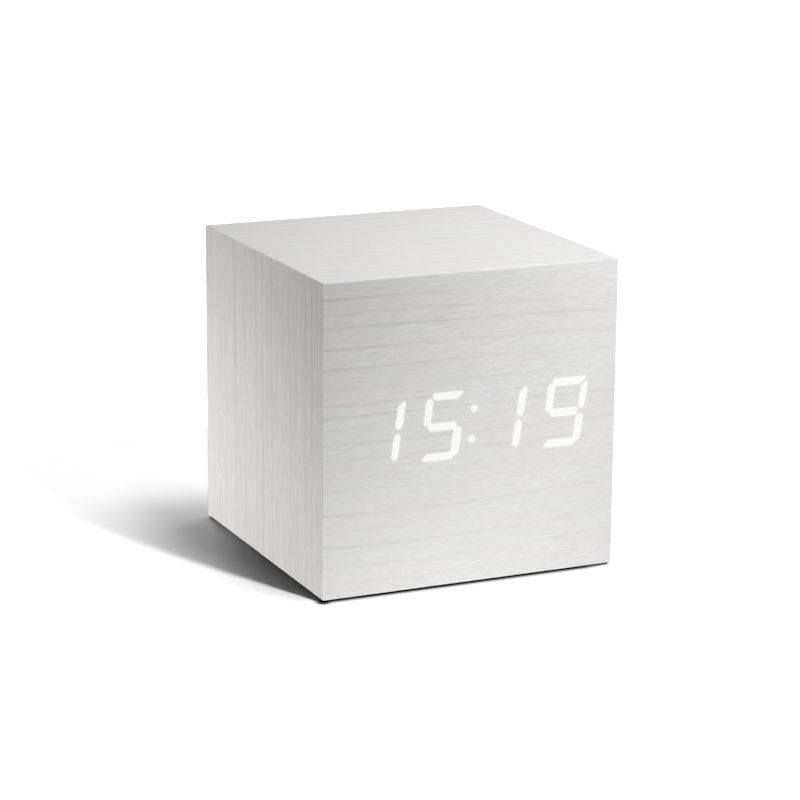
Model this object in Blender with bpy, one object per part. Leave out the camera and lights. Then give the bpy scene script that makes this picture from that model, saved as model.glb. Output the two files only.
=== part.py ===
"""Cube-shaped digital alarm clock with a light-through display.

Frame: +Z up, front face towards -Y, origin at the centre of the footprint on
the plane that the feet stand on. Lengths below are millimetres; every mesh is
written in metres.
"""
import math

import bmesh
import bpy
from mathutils import Vector

MM = 0.001

# ---------------------------------------------------------------- dimensions
WIDTH = 68.0            # X
DEPTH = 68.0            # Y
HEIGHT = 68.0           # Z, feet included
FOOT_PROUD = 0.5        # how far the feet stand out of the case
WALL = 3.5              # wall of the folded sleeve
EDGE_R = 0.5            # rounding of the long outer edges
GAP = 0.3               # clearance between neighbouring pieces

VENEER_T = 0.5
FRONT_BOARD_T = 3.0
REAR_PANEL_T = 4.0
REAR_RECESS = 0.8       # rear panel sits this far inside the sleeve's rear edge

HX = WIDTH / 2
HY = DEPTH / 2
Z0 = FOOT_PROUD         # underside of the case
Z1 = HEIGHT
IX = HX - WALL          # inner half width
IZ0 = Z0 + WALL
IZ1 = Z1 - WALL

# display: four slanted seven-segment digits and a colon
DIGIT_TOP = 25.05       # distance of a digit's top edge below the case top
DIGIT_H = 14.95
SEG_T = 1.75
SLANT = math.tan(math.radians(8.5))
DIGIT_W = 9.35          # upright width of a digit
DIGIT_X = (-26.6, -12.5, 1.7, 16.1)       # lower left corner of each digit
COLON = ((0.57, 29.33), (-0.03, 36.03))    # x, distance below the case top
COLON_R = 0.85
DISPLAY_CX = 0.6
DISPLAY_CZ = Z1 - 32.65
DISPLAY_HX = 28.2
DISPLAY_HZ = 9.4
FRAME_DEPTH = 5.0

# rear controls
PANEL_Z = 48.0
PLATE_HX = 28.0
PLATE_HZ = 8.0
PLATE_T = 1.5
BUTTON_X = (7.2, 0.0, -7.2)
BUTTON_R = 2.8
BUTTON_FLANGE_R = 3.4
SWITCH_X = 15.2
SWITCH_TRAVEL = 2.0
SOCKET_X = -15.5

# batteries
CELL_R = 5.2
CELL_LEN = 44.5
CELL_PITCH = 11.0
CELL_Z = 8.6

# ------------------------------------------------------------------- helpers


def clear_scene():
    for ob in list(bpy.data.objects):
        bpy.data.objects.remove(ob, do_unlink=True)


MATERIALS = {}


def material(name, color, rough, metal=0.0):
    if name not in MATERIALS:
        mat = bpy.data.materials.new(name)
        mat.use_nodes = True
        bsdf = mat.node_tree.nodes["Principled BSDF"]
        bsdf.inputs["Base Color"].default_value = (*color, 1.0)
        bsdf.inputs["Roughness"].default_value = rough
        bsdf.inputs["Metallic"].default_value = metal
        mat.diffuse_color = (*color, 1.0)
        MATERIALS[name] = mat
    return MATERIALS[name]


def add_loft(bm, sections):
    """Closed solid through sections of equally many 3-D points."""
    rings = [[bm.verts.new(p) for p in ring] for ring in sections]
    n = len(rings[0])
    for a, b in zip(rings, rings[1:]):
        for i in range(n):
            j = (i + 1) % n
            bm.faces.new((a[i], a[j], b[j], b[i]))
    bm.faces.new(list(reversed(rings[0])))
    bm.faces.new(rings[-1])


def place(u, v, w, axis):
    """Point with in-plane coordinates u, v and position w along the axis."""
    if axis == "z":
        return (u, v, w)
    if axis == "y":
        return (u, w, v)
    return (w, u, v)


def add_prism(bm, outline, axis, lo, hi):
    add_loft(bm, [[place(u, v, w, axis) for u, v in outline] for w in (lo, hi)])


def add_box(bm, x0, x1, y0, y1, z0, z1):
    add_prism(bm, [(x0, y0), (x1, y0), (x1, y1), (x0, y1)], "z", z0, z1)


def round_rect(u0, u1, v0, v1, r, steps=3):
    pts = []
    for cu, cv, start in ((u1 - r, v0 + r, -90), (u1 - r, v1 - r, 0),
                          (u0 + r, v1 - r, 90), (u0 + r, v0 + r, 180)):
        for k in range(steps + 1):
            a = math.radians(start + 90.0 * k / steps)
            pts.append((cu + r * math.cos(a), cv + r * math.sin(a)))
    return pts


def circle(cu, cv, r, n):
    return [(cu + r * math.cos(2 * math.pi * k / n),
             cv + r * math.sin(2 * math.pi * k / n)) for k in range(n)]


def add_turned(bm, profile, cu, cv, axis, n=20):
    """Turned solid. profile is (radius, height); both ends have a flat cap."""
    add_loft(bm, [[place(u, v, h, axis) for u, v in circle(cu, cv, r, n)]
                  for r, h in profile])


def add_tube(bm, points, radius, sides=6):
    """Round wire along a list of 3-D points."""
    pts = [Vector(p) for p in points]
    rings = []
    normal = None
    for i, p in enumerate(pts):
        tangent = (pts[min(i + 1, len(pts) - 1)] - pts[max(i - 1, 0)]).normalized()
        if normal is None:
            helper = Vector((0, 0, 1)) if abs(tangent.z) < 0.9 else Vector((1, 0, 0))
            normal = tangent.cross(helper).normalized()
        normal = (normal - tangent * normal.dot(tangent)).normalized()
        side = tangent.cross(normal)
        rings.append([p + (normal * math.cos(2 * math.pi * k / sides)
                           + side * math.sin(2 * math.pi * k / sides)) * radius
                      for k in range(sides)])
    add_loft(bm, rings)


def smooth_path(points, per_span=6):
    """Catmull-Rom curve through the given points."""
    pts = [Vector(p) for p in points]
    pts = [pts[0] * 2 - pts[1]] + pts + [pts[-1] * 2 - pts[-2]]
    out = []
    for i in range(1, len(pts) - 2):
        a, b, c, d = pts[i - 1:i + 3]
        for k in range(per_span):
            t = k / per_span
            out.append(0.5 * ((2 * b) + (c - a) * t + (2 * a - 5 * b + 4 * c - d) * t * t
                              + (3 * b - a - 3 * c + d) * t ** 3))
    out.append(pts[-2])
    return out


def to_mesh(name, bm, origin=(0, 0, 0)):
    bmesh.ops.recalc_face_normals(bm, faces=bm.faces)
    for v in bm.verts:
        v.co = (v.co - Vector(origin)) * MM
    mesh = bpy.data.meshes.new(name)
    bm.to_mesh(mesh)
    bm.free()
    return mesh


def make(name, build, mat, origin=(0, 0, 0), smooth=False):
    """Object whose mesh is filled in by build(bm), in millimetres."""
    bm = bmesh.new()
    build(bm)
    ob = bpy.data.objects.new(name, to_mesh(name, bm, origin))
    ob.location = Vector(origin) * MM
    ob.data.materials.append(mat)
    bpy.context.scene.collection.objects.link(ob)
    if smooth:
        ob.data.shade_smooth()
        ob.data.set_sharp_from_angle(angle=math.radians(35))
    return ob


def boolean(ob, build, operation="DIFFERENCE"):
    """Cut (or join) a helper shape built by build(bm)."""
    bm = bmesh.new()
    build(bm)
    count = sum(1 for m in ob.modifiers if m.type == "BOOLEAN")
    name = "tool_%s_%d" % (ob.name, count + 1)
    tool = bpy.data.objects.new(name, to_mesh(name, bm))
    bpy.context.scene.collection.objects.link(tool)
    tool.hide_render = True
    tool.display_type = "WIRE"
    mod = ob.modifiers.new("boolean_%d" % (count + 1), "BOOLEAN")
    mod.operation = operation
    mod.solver = "EXACT"
    mod.object = tool
    return tool


# ------------------------------------------------------------------ geometry

clear_scene()

WOOD = material("white_wood", (0.72, 0.72, 0.70), 0.55)
BOARD = material("fibreboard", (0.42, 0.30, 0.20), 0.8)
BLACK = material("black_plastic", (0.02, 0.02, 0.022), 0.45)
WHITE = material("white_plastic", (0.75, 0.75, 0.74), 0.5)
LENS = material("diffuser_film", (0.9, 0.9, 0.9), 0.35)
PCB = material("circuit_board", (0.03, 0.16, 0.07), 0.5)
CHIP = material("chip_epoxy", (0.03, 0.03, 0.035), 0.5)
STEEL = material("plated_steel", (0.6, 0.6, 0.6), 0.3, 1.0)
RUBBER = material("black_rubber", (0.02, 0.02, 0.02), 0.9)
CELL = material("cell_sleeve", (0.10, 0.20, 0.30), 0.35)
RED = material("red_wire", (0.5, 0.02, 0.02), 0.4)
DARK = material("black_wire", (0.02, 0.02, 0.02), 0.4)
GREY = material("ribbon_grey", (0.45, 0.45, 0.47), 0.4)

# ---- case ----------------------------------------------------------------
SLEEVE_Y0 = -HY + VENEER_T + GAP
CUT_HX = 25.7                     # battery cut-out in the bottom wall
CUT_Y0 = -24.0
EAR_Y = (-12.0, 12.0)
TRAY_SCREW_X = 28.9
FOOT_X = 29.9
FOOT_Y = 28.5
FOOT_R = 3.2

sleeve = make("case_sleeve", lambda bm: add_prism(
    bm, round_rect(-HX, HX, Z0, Z1, EDGE_R), "y", SLEEVE_Y0, HY), WOOD)
boolean(sleeve, lambda bm: add_box(bm, -IX, IX, -HY - 5, HY + 5, IZ0, IZ1))
boolean(sleeve, lambda bm: add_box(bm, -CUT_HX, CUT_HX, CUT_Y0, HY + 5, -2, IZ0 + 2))


def ear_pockets(bm):
    for s in (-1, 1):
        for y in EAR_Y:
            x0, x1 = sorted((s * 25.0, s * 32.3))
            add_box(bm, x0, x1, y - 4.0, y + 4.0, -2, Z0 + 1.7)


def sleeve_holes(bm):
    for sx in (-1, 1):
        for y in EAR_Y:
            add_turned(bm, [(1.3, Z0 + 1), (1.3, IZ0 + 2)], sx * TRAY_SCREW_X, y, "z", 12)
        for sy in (-1, 1):
            add_turned(bm, [(FOOT_R + GAP, -2), (FOOT_R + GAP, Z0 + 1.3)],
                       sx * FOOT_X, sy * FOOT_Y, "z", 20)


boolean(sleeve, ear_pockets)
boolean(sleeve, sleeve_holes)


def veneer(bm):
    edge = 0.25
    full = round_rect(-HX, HX, Z0, Z1, EDGE_R)
    front = round_rect(-HX + edge, HX - edge, Z0 + edge, Z1 - edge, EDGE_R - edge)
    add_loft(bm, [[(u, -HY, v) for u, v in front],
                  [(u, -HY + edge, v) for u, v in full],
                  [(u, -HY + VENEER_T, v) for u, v in full]])


make("front_veneer", veneer, WOOD)

FB_Y0 = SLEEVE_Y0
FB_Y1 = FB_Y0 + FRONT_BOARD_T
DSCREW = ((-24.5, 11.3), (26.0, -11.3))      # x, z from the display centre

front_board = make("front_board", lambda bm: add_box(
    bm, -IX + GAP, IX - GAP, FB_Y0, FB_Y1, IZ0 + GAP, IZ1 - GAP), BOARD)
boolean(front_board, lambda bm: add_box(
    bm, DISPLAY_CX - DISPLAY_HX - GAP, DISPLAY_CX + DISPLAY_HX + GAP, FB_Y0 - 2, FB_Y1 + 2,
    DISPLAY_CZ - DISPLAY_HZ - GAP, DISPLAY_CZ + DISPLAY_HZ + GAP))


def display_pilots(bm):
    for x, z in DSCREW:
        add_turned(bm, [(1.1, FB_Y1 - 2.2), (1.1, FB_Y1 + 2)], x, DISPLAY_CZ + z, "y", 10)


boolean(front_board, display_pilots)

# ---- display -------------------------------------------------------------


def segment_outline(kind, x0, ztop):
    """Six-sided outline of one segment in the X-Z plane, sheared to the right."""
    t = SEG_T
    h = DIGIT_H
    w = DIGIT_W
    g = 0.12                       # half the slit between two segments
    half = h / 2
    if kind in "agd":
        zc = {"a": h - t / 2, "g": half, "d": t / 2}[kind]
        a0, a1 = t / 2 + g, w - t / 2 - g
        pts = [(a0, zc), (a0 + t / 2, zc - t / 2), (a1 - t / 2, zc - t / 2),
               (a1, zc), (a1 - t / 2, zc + t / 2), (a0 + t / 2, zc + t / 2)]
    else:
        xc = {"b": w - t / 2, "c": w - t / 2, "e": t / 2, "f": t / 2}[kind]
        b0, b1 = (half + g, h - t / 2 - g) if kind in "bf" else (t / 2 + g, half - g)
        pts = [(xc, b0), (xc + t / 2, b0 + t / 2), (xc + t / 2, b1 - t / 2),
               (xc, b1), (xc - t / 2, b1 - t / 2), (xc - t / 2, b0 + t / 2)]
    zbase = ztop - h
    return [(x0 + u + v * SLANT, zbase + v) for u, v in pts]


def all_segments():
    ztop = Z1 - DIGIT_TOP
    return [(k, segment_outline(k, x, ztop)) for x in DIGIT_X for k in "abcdefg"]


DIFF_Y0 = FB_Y0
DIFF_T = 0.3
FR_Y0 = DIFF_Y0 + DIFF_T + GAP
FR_Y1 = FR_Y0 + FRAME_DEPTH
FLANGE_Y0 = FB_Y1 + GAP
FLANGE_HX = 28.9
FLANGE_HZ = 13.0
DB_Y0 = FR_Y1 + GAP
DB_Y1 = DB_Y0 + 1.6


def display_rect(hx, hz, y):
    return [(DISPLAY_CX - hx, y, DISPLAY_CZ - hz), (DISPLAY_CX + hx, y, DISPLAY_CZ - hz),
            (DISPLAY_CX + hx, y, DISPLAY_CZ + hz), (DISPLAY_CX - hx, y, DISPLAY_CZ + hz)]


make("display_diffuser", lambda bm: add_loft(
    bm, [display_rect(DISPLAY_HX, DISPLAY_HZ, y) for y in (DIFF_Y0, DIFF_Y0 + DIFF_T)]), LENS)

frame = make("display_frame", lambda bm: add_loft(
    bm, [display_rect(DISPLAY_HX, DISPLAY_HZ, FR_Y0), display_rect(DISPLAY_HX, DISPLAY_HZ, FLANGE_Y0),
         display_rect(FLANGE_HX, FLANGE_HZ, FLANGE_Y0), display_rect(FLANGE_HX, FLANGE_HZ, FR_Y1)]), WHITE)


def wells(bm):
    for _, outline in all_segments():
        add_prism(bm, outline, "y", FR_Y0 - 2, FR_Y1 + 2)
    for x, down in COLON:
        add_turned(bm, [(COLON_R, FR_Y0 - 2), (COLON_R, FR_Y1 + 2)], x, Z1 - down, "y", 10)
    for x, z in DSCREW:
        add_turned(bm, [(1.15, FR_Y0 - 2), (1.15, FR_Y1 + 2)], x, DISPLAY_CZ + z, "y", 10)


boolean(frame, wells)

display_board = make("display_board", lambda bm: add_loft(
    bm, [display_rect(FLANGE_HX, FLANGE_HZ, y) for y in (DB_Y0, DB_Y1)]), PCB)


def leds(bm):
    size = 0.45
    for _, outline in all_segments():
        cx = sum(p[0] for p in outline) / 6
        cz = sum(p[1] for p in outline) / 6
        add_box(bm, cx - size, cx + size, DB_Y0 - 0.5, DB_Y0 + 0.5, cz - size, cz + size)


def board_holes(bm):
    for x, z in DSCREW:
        add_turned(bm, [(1.15, DB_Y0 - 2), (1.15, DB_Y1 + 2)], x, DISPLAY_CZ + z, "y", 10)


boolean(display_board, leds, "UNION")
boolean(display_board, board_holes)

for i, (x, z) in enumerate(DSCREW):
    y = DB_Y1 + GAP
    make("display_screw_%d" % (i + 1), lambda bm: add_turned(
        bm, [(0.5, y - 6.6), (0.8, y - 6.0), (0.8, y), (1.7, y), (1.7, y + 0.7), (1.2, y + 1.1)],
        x, DISPLAY_CZ + z, "y", 12), STEEL, smooth=True)

# ---- rear panel and control plate ------------------------------------------
RP_Y1 = HY - REAR_RECESS
RP_Y0 = RP_Y1 - REAR_PANEL_T
PL_Y1 = RP_Y1 - 0.1
PL_Y0 = PL_Y1 - PLATE_T
LEDGE_Y = PL_Y0 - GAP
PSCREW_X = 26.5
BOSS_X = 22.4
BOSS_R = 2.2
CB_Y1 = 24.5
CB_Y0 = 22.9
BUZZ_X = 16.0
BUZZ_Z = 27.0
MIC_Z = 60.2

rear = make("rear_panel", lambda bm: add_box(
    bm, -IX + GAP, IX - GAP, RP_Y0, RP_Y1, IZ0 + GAP, IZ1 - GAP), WOOD)
boolean(rear, lambda bm: add_prism(bm, round_rect(
    -PLATE_HX - GAP, PLATE_HX + GAP, PANEL_Z - PLATE_HZ - GAP, PANEL_Z + PLATE_HZ + GAP, 3.0, 4),
    "y", LEDGE_Y, RP_Y1 + 2))
boolean(rear, lambda bm: add_box(
    bm, -25.0, 25.0, RP_Y0 - 2, LEDGE_Y + 0.5, PANEL_Z - 6.2, PANEL_Z + 6.2))


def rear_holes(bm):
    for s in (-1, 1):
        add_turned(bm, [(1.0, LEDGE_Y - 1.9), (1.0, LEDGE_Y + 1)], s * PSCREW_X, PANEL_Z, "y", 10)
    add_turned(bm, [(0.6, RP_Y0 - 2), (0.6, RP_Y1 + 2)], 0.0, MIC_Z, "y", 10)
    add_turned(bm, [(0.7, RP_Y0 - 2), (0.7, RP_Y1 + 2)], BUZZ_X, BUZZ_Z, "y", 10)
    for k in range(6):
        a = math.radians(60 * k)
        add_turned(bm, [(0.7, RP_Y0 - 2), (0.7, RP_Y1 + 2)],
                   BUZZ_X + 3.0 * math.cos(a), BUZZ_Z + 3.0 * math.sin(a), "y", 10)


boolean(rear, rear_holes)

plate = make("control_plate", lambda bm: add_prism(bm, round_rect(
    -PLATE_HX, PLATE_HX, PANEL_Z - PLATE_HZ, PANEL_Z + PLATE_HZ, 2.7, 4), "y", PL_Y0, PL_Y1), BLACK)


def bosses(bm):
    for s in (-1, 1):
        add_turned(bm, [(BOSS_R, CB_Y1 + GAP), (BOSS_R, PL_Y0 + 0.5)], s * BOSS_X, PANEL_Z, "y", 16)


def plate_holes(bm):
    for x in BUTTON_X:
        add_turned(bm, [(BUTTON_R + GAP, PL_Y0 - 1), (BUTTON_R + GAP, PL_Y1 + 1)], x, PANEL_Z, "y", 24)
    slot = 1.5 + SWITCH_TRAVEL / 2 + GAP
    add_prism(bm, round_rect(SWITCH_X - slot, SWITCH_X + slot, PANEL_Z - 1.3, PANEL_Z + 1.3, 0.4, 2),
              "y", PL_Y0 - 1, PL_Y1 + 1)
    add_prism(bm, round_rect(SOCKET_X - 4.2, SOCKET_X + 4.2, PANEL_Z - 2.3, PANEL_Z + 2.3, 0.6, 2),
              "y", PL_Y0 - 1, PL_Y1 + 1)
    for s in (-1, 1):
        add_turned(bm, [(1.1, PL_Y0 - 1), (1.1, PL_Y1 - 0.9), (2.1, PL_Y1 + 0.1), (2.1, PL_Y1 + 1)],
                   s * PSCREW_X, PANEL_Z, "y", 16)
        add_turned(bm, [(1.1, CB_Y1 - 1), (1.1, CB_Y1 + 5.0)], s * BOSS_X, PANEL_Z, "y", 10)


boolean(plate, bosses, "UNION")
boolean(plate, plate_holes)

for i, s in enumerate((-1, 1)):
    make("plate_screw_%d" % (i + 1), lambda bm: add_turned(
        bm, [(0.4, PL_Y0 - 2.0), (0.7, PL_Y0 - 1.5), (0.7, PL_Y1 - 1.0), (1.6, PL_Y1 - 0.1), (1.6, PL_Y1)],
        s * PSCREW_X, PANEL_Z, "y", 14), STEEL, smooth=True)

# ---- control board and what sits on it -------------------------------------
control_board = make("control_board", lambda bm: add_box(
    bm, -25.0, 25.0, CB_Y0, CB_Y1, PANEL_Z - 6.0, MIC_Z + 3.5), PCB)
boolean(control_board, lambda bm: [add_turned(
    bm, [(1.1, CB_Y0 - 1), (1.1, CB_Y1 + 1)], s * BOSS_X, PANEL_Z, "y", 10) for s in (-1, 1)])

for i, s in enumerate((-1, 1)):
    y = CB_Y0 - GAP
    make("control_board_screw_%d" % (i + 1), lambda bm: add_turned(
        bm, [(1.3, y - 1.1), (1.8, y - 0.7), (1.8, y), (0.8, y), (0.8, y + 5.2), (0.5, y + 5.8)],
        s * BOSS_X, PANEL_Z, "y", 12), STEEL, smooth=True)

SW_Y0 = CB_Y1 + GAP               # everything on the board starts here
TACT_Y1 = SW_Y0 + 3.4
PLUNGER_Y1 = TACT_Y1 + 1.6
FLANGE_BY0 = PLUNGER_Y1 + GAP
FLANGE_BY1 = PL_Y0 - GAP

for x, name in zip(BUTTON_X, ("set", "up", "down")):
    body = make(name + "_switch_body", lambda bm: add_box(
        bm, x - 3.0, x + 3.0, SW_Y0, TACT_Y1, PANEL_Z - 3.0, PANEL_Z + 3.0), CHIP)
    boolean(body, lambda bm: add_turned(
        bm, [(2.1, TACT_Y1 - 2.0), (2.1, TACT_Y1 + 1)], x, PANEL_Z, "y", 20))
    make(name + "_switch_plunger", lambda bm: add_turned(
        bm, [(1.75, TACT_Y1 - 1.2), (1.75, PLUNGER_Y1 - 0.2), (1.55, PLUNGER_Y1)],
        x, PANEL_Z, "y", 20), CHIP, origin=(x, TACT_Y1, PANEL_Z), smooth=True)
    make(name + "_button", lambda bm: add_turned(
        bm, [(BUTTON_FLANGE_R, FLANGE_BY0), (BUTTON_FLANGE_R, FLANGE_BY1), (BUTTON_R, FLANGE_BY1),
             (BUTTON_R, HY - 0.4), (BUTTON_R - 0.1, HY - 0.2), (BUTTON_R - 0.35, HY - 0.1)],
        x, PANEL_Z, "y", 28), BLACK, origin=(x, PL_Y1, PANEL_Z), smooth=True)

# slide switch: body with a slot, knob captured in it
sw_body = make("sound_switch_body", lambda bm: add_box(
    bm, SWITCH_X - 4.5, SWITCH_X + 4.5, SW_Y0, SW_Y0 + 3.8, PANEL_Z - 2.3, PANEL_Z + 2.3), STEEL)
boolean(sw_body, lambda bm: add_box(
    bm, SWITCH_X - 3.1, SWITCH_X + 3.1, SW_Y0 + 0.9, SW_Y0 + 3.2, PANEL_Z - 1.8, PANEL_Z + 1.8))
boolean(sw_body, lambda bm: add_box(
    bm, SWITCH_X - 2.5, SWITCH_X + 2.5, SW_Y0 + 3.0, SW_Y0 + 5, PANEL_Z - 1.1, PANEL_Z + 1.1))
KNOB_X = SWITCH_X - SWITCH_TRAVEL / 2
knob = make("sound_switch_knob", lambda bm: add_loft(bm, [
    [(KNOB_X + hx * a, y, PANEL_Z + hz * b) for a, b in ((-1, -1), (1, -1), (1, 1), (-1, 1))]
    for hx, hz, y in ((1.7, 1.4, SW_Y0 + 1.2), (1.7, 1.4, SW_Y0 + 2.9), (1.1, 0.8, SW_Y0 + 2.9),
                      (1.1, 0.8, PL_Y0 - 0.6), (1.5, 1.0, PL_Y0 - 0.6), (1.5, 1.0, HY - 0.35),
                      (1.35, 0.85, HY - 0.2))]),
    BLACK, origin=(KNOB_X, PL_Y1, PANEL_Z))

# power socket: steel shell, moulded tongue
SOCK_Y1 = PL_Y1 - 0.9
socket = make("power_socket", lambda bm: add_prism(bm, round_rect(
    SOCKET_X - 3.85, SOCKET_X + 3.85, PANEL_Z - 1.95, PANEL_Z + 1.95, 0.5, 2), "y", SW_Y0, SOCK_Y1), STEEL)
boolean(socket, lambda bm: add_prism(bm, round_rect(
    SOCKET_X - 3.45, SOCKET_X + 3.45, PANEL_Z - 1.55, PANEL_Z + 1.55, 0.4, 2), "y", SW_Y0 + 1.0, SOCK_Y1 + 1))
make("power_socket_tongue", lambda bm: add_box(
    bm, SOCKET_X - 2.6, SOCKET_X + 2.6, SW_Y0 + 1.3, SOCK_Y1 - 0.9, PANEL_Z - 0.5, PANEL_Z + 0.5), BLACK)

mic = make("microphone", lambda bm: add_turned(
    bm, [(3.0, SW_Y0), (3.0, SW_Y0 + 2.4), (2.7, SW_Y0 + 2.7)], 0.0, MIC_Z, "y", 20), STEEL, smooth=True)
boolean(mic, lambda bm: add_turned(bm, [(0.9, SW_Y0 + 2.2), (0.9, SW_Y0 + 4)], 0.0, MIC_Z, "y", 12))

# ---- battery tray ----------------------------------------------------------
TRAY_HX = CUT_HX - GAP
TRAY_Y0 = CUT_Y0 + GAP
TRAY_Y1 = RP_Y0 - GAP
TRAY_TONGUE_Y1 = HY - 0.1
TRAY_Z0 = Z0 + 0.1
TRAY_TOP = 16.0
CEIL = 14.4
COMP_HX = 22.1
COMP_Y0 = -22.2
COMP_Y1 = 27.4
RAIL_LIP_Z = 1.6
RAIL_TOP_Z = 3.3
POST = ((-22.5, -14.5), (22.5, -14.5), (-22.5, 14.5), (22.5, 14.5))
MB_Z0 = 19.0
MB_Z1 = 20.6
WIRE_X = 18.5
WIRE_Y = -21.1

tray = make("battery_tray", lambda bm: add_box(
    bm, -TRAY_HX, TRAY_HX, TRAY_Y0, TRAY_Y1, TRAY_Z0, TRAY_TOP), BLACK)
boolean(tray, lambda bm: add_box(
    bm, -TRAY_HX, TRAY_HX, TRAY_Y1 - 1, TRAY_TONGUE_Y1, TRAY_Z0, IZ0), "UNION")


def ears(bm):
    for s in (-1, 1):
        for y in EAR_Y:
            x0, x1 = sorted((s * 24.9, s * 32.0))
            add_prism(bm, round_rect(x0, x1, y - 3.7, y + 3.7, 1.0, 2), "z", TRAY_Z0, Z0 + 1.4)
    for x, y in POST:
        add_turned(bm, [(2.4, TRAY_TOP - 0.5), (2.4, MB_Z0 - GAP)], x, y, "z", 14)


def rail_cut(bm):
    a, b = COMP_HX + 1.2, COMP_HX + 2.5
    outline = [(-a, -1), (a, -1), (a, RAIL_LIP_Z), (b, RAIL_LIP_Z), (b, RAIL_TOP_Z),
               (-b, RAIL_TOP_Z), (-b, RAIL_LIP_Z), (-a, RAIL_LIP_Z)]
    add_prism(bm, outline, "y", COMP_Y0 - 0.3, HY + 3)


def compartment(bm):
    rib = 0.5
    low = 11.4
    pts = [(-COMP_HX, 0.0), (COMP_HX, 0.0), (COMP_HX, CEIL)]
    for xc in (CELL_PITCH, 0.0, -CELL_PITCH):
        pts += [(xc + rib, CEIL), (xc + rib, low), (xc - rib, low), (xc - rib, CEIL)]
    pts.append((-COMP_HX, CEIL))
    add_prism(bm, pts, "y", COMP_Y0, COMP_Y1)


def tray_holes(bm):
    for s in (-1, 1):
        for y in EAR_Y:
            add_turned(bm, [(2.2, -1), (2.2, TRAY_Z0 + 0.1), (1.35, TRAY_Z0 + 0.9), (1.35, Z0 + 3)],
                       s * TRAY_SCREW_X, y, "z", 16)
        add_turned(bm, [(0.9, CEIL - 1), (0.9, TRAY_TOP + 1)], s * WIRE_X, WIRE_Y, "z", 10)
    for x, y in POST:
        add_turned(bm, [(1.1, TRAY_TOP + 0.2), (1.1, MB_Z0 + 1)], x, y, "z", 10)


boolean(tray, ears, "UNION")
boolean(tray, rail_cut)
boolean(tray, compartment)
boolean(tray, tray_holes)

n = 0
for s in (-1, 1):
    for y in EAR_Y:
        n += 1
        make("tray_screw_%d" % n, lambda bm: add_turned(
            bm, [(1.75, TRAY_Z0 + 0.1), (1.75, TRAY_Z0 + 0.25), (1.0, TRAY_Z0 + 1.0),
                 (1.0, IZ0 - 0.4), (0.6, IZ0 + 0.1)],
            s * TRAY_SCREW_X, y, "z", 14), STEEL, smooth=True)

# lid: T-section plate that slides out to the rear
LID_Y0 = COMP_Y0
LID_Y1 = HY - 0.2
LID_TRAVEL = 46.0


def lid_shape(bm):
    a, b = COMP_HX + 0.9, COMP_HX + 2.2
    outline = [(-a, TRAY_Z0 + 0.1), (a, TRAY_Z0 + 0.1), (a, RAIL_LIP_Z + GAP), (b, RAIL_LIP_Z + GAP),
               (b, RAIL_TOP_Z - GAP), (-b, RAIL_TOP_Z - GAP), (-b, RAIL_LIP_Z + GAP), (-a, RAIL_LIP_Z + GAP)]
    add_prism(bm, outline, "y", LID_Y0, LID_Y1)


lid = make("battery_lid", lid_shape, BLACK)
boolean(lid, lambda bm: [add_box(bm, -7.0, 7.0, 22.0 + 1.8 * k, 22.9 + 1.8 * k, -1, TRAY_Z0 + 0.55)
                         for k in range(6)])

# feet
n = 0
for sy in (-1, 1):
    for sx in (-1, 1):
        n += 1
        make("foot_%d" % n, lambda bm: add_turned(
            bm, [(FOOT_R - 0.15, 0.0), (FOOT_R, 0.15), (FOOT_R, Z0 + 1.0)],
            sx * FOOT_X, sy * FOOT_Y, "z", 20), RUBBER, smooth=True)

# ---- cells and contacts ----------------------------------------------------
REAR_CONTACT_Y = COMP_Y1 - GAP - 0.5        # face of a rear contact
FRONT_CONTACT_Y = COMP_Y0 + GAP + 0.5       # face of a front contact

for i in range(4):
    x = (i - 1.5) * CELL_PITCH
    if i % 2 == 0:
        tip, way = REAR_CONTACT_Y - GAP, 1.0
    else:
        tip, way = FRONT_CONTACT_Y + GAP, -1.0
    profile = [(CELL_R - 0.3, tip - way * CELL_LEN), (CELL_R, tip - way * (CELL_LEN - 0.3)),
               (CELL_R, tip - way * 1.1), (CELL_R - 0.3, tip - way * 0.8),
               (1.9, tip - way * 0.8), (1.9, tip - way * 0.1), (1.7, tip)]
    make("battery_cell_%d" % (i + 1), lambda bm: add_turned(bm, profile, x, CELL_Z, "y", 24), CELL, smooth=True)


def spring_points(x, base_y, way, turns=2.6, length=3.0):
    steps = int(turns * 14)
    pts = []
    for k in range(steps + 1):
        t = k / steps
        a = 2 * math.pi * turns * t
        r = 3.1 - 0.9 * t
        pts.append((x + r * math.cos(a), base_y + way * (length * t - 0.2), CELL_Z + r * math.sin(a)))
    return pts


def contact(name, x0, x1, front, spring_x):
    base = FRONT_CONTACT_Y if front else REAR_CONTACT_Y
    back = base - 0.5 if front else base + 0.5
    ob = make(name, lambda bm: add_box(bm, x0, x1, min(base, back), max(base, back), 4.4, 11.0), STEEL)
    if spring_x is not None:
        way = 1.0 if front else -1.0
        boolean(ob, lambda bm: add_tube(bm, spring_points(spring_x, base, way), 0.3, 6), "UNION")


X1, X2, X3, X4 = ((i - 1.5) * CELL_PITCH for i in range(4))
contact("contact_negative", X1 - 4.6, X1 + 4.4, True, X1)
contact("contact_positive", X4 - 4.4, X4 + 4.6, True, None)
contact("contact_link_front", X2 - 4.4, X3 + 4.4, True, X3)
contact("contact_link_rear_1", X1 - 4.6, X2 + 4.4, False, X2)
contact("contact_link_rear_2", X3 - 4.4, X4 + 4.6, False, X4)

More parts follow.
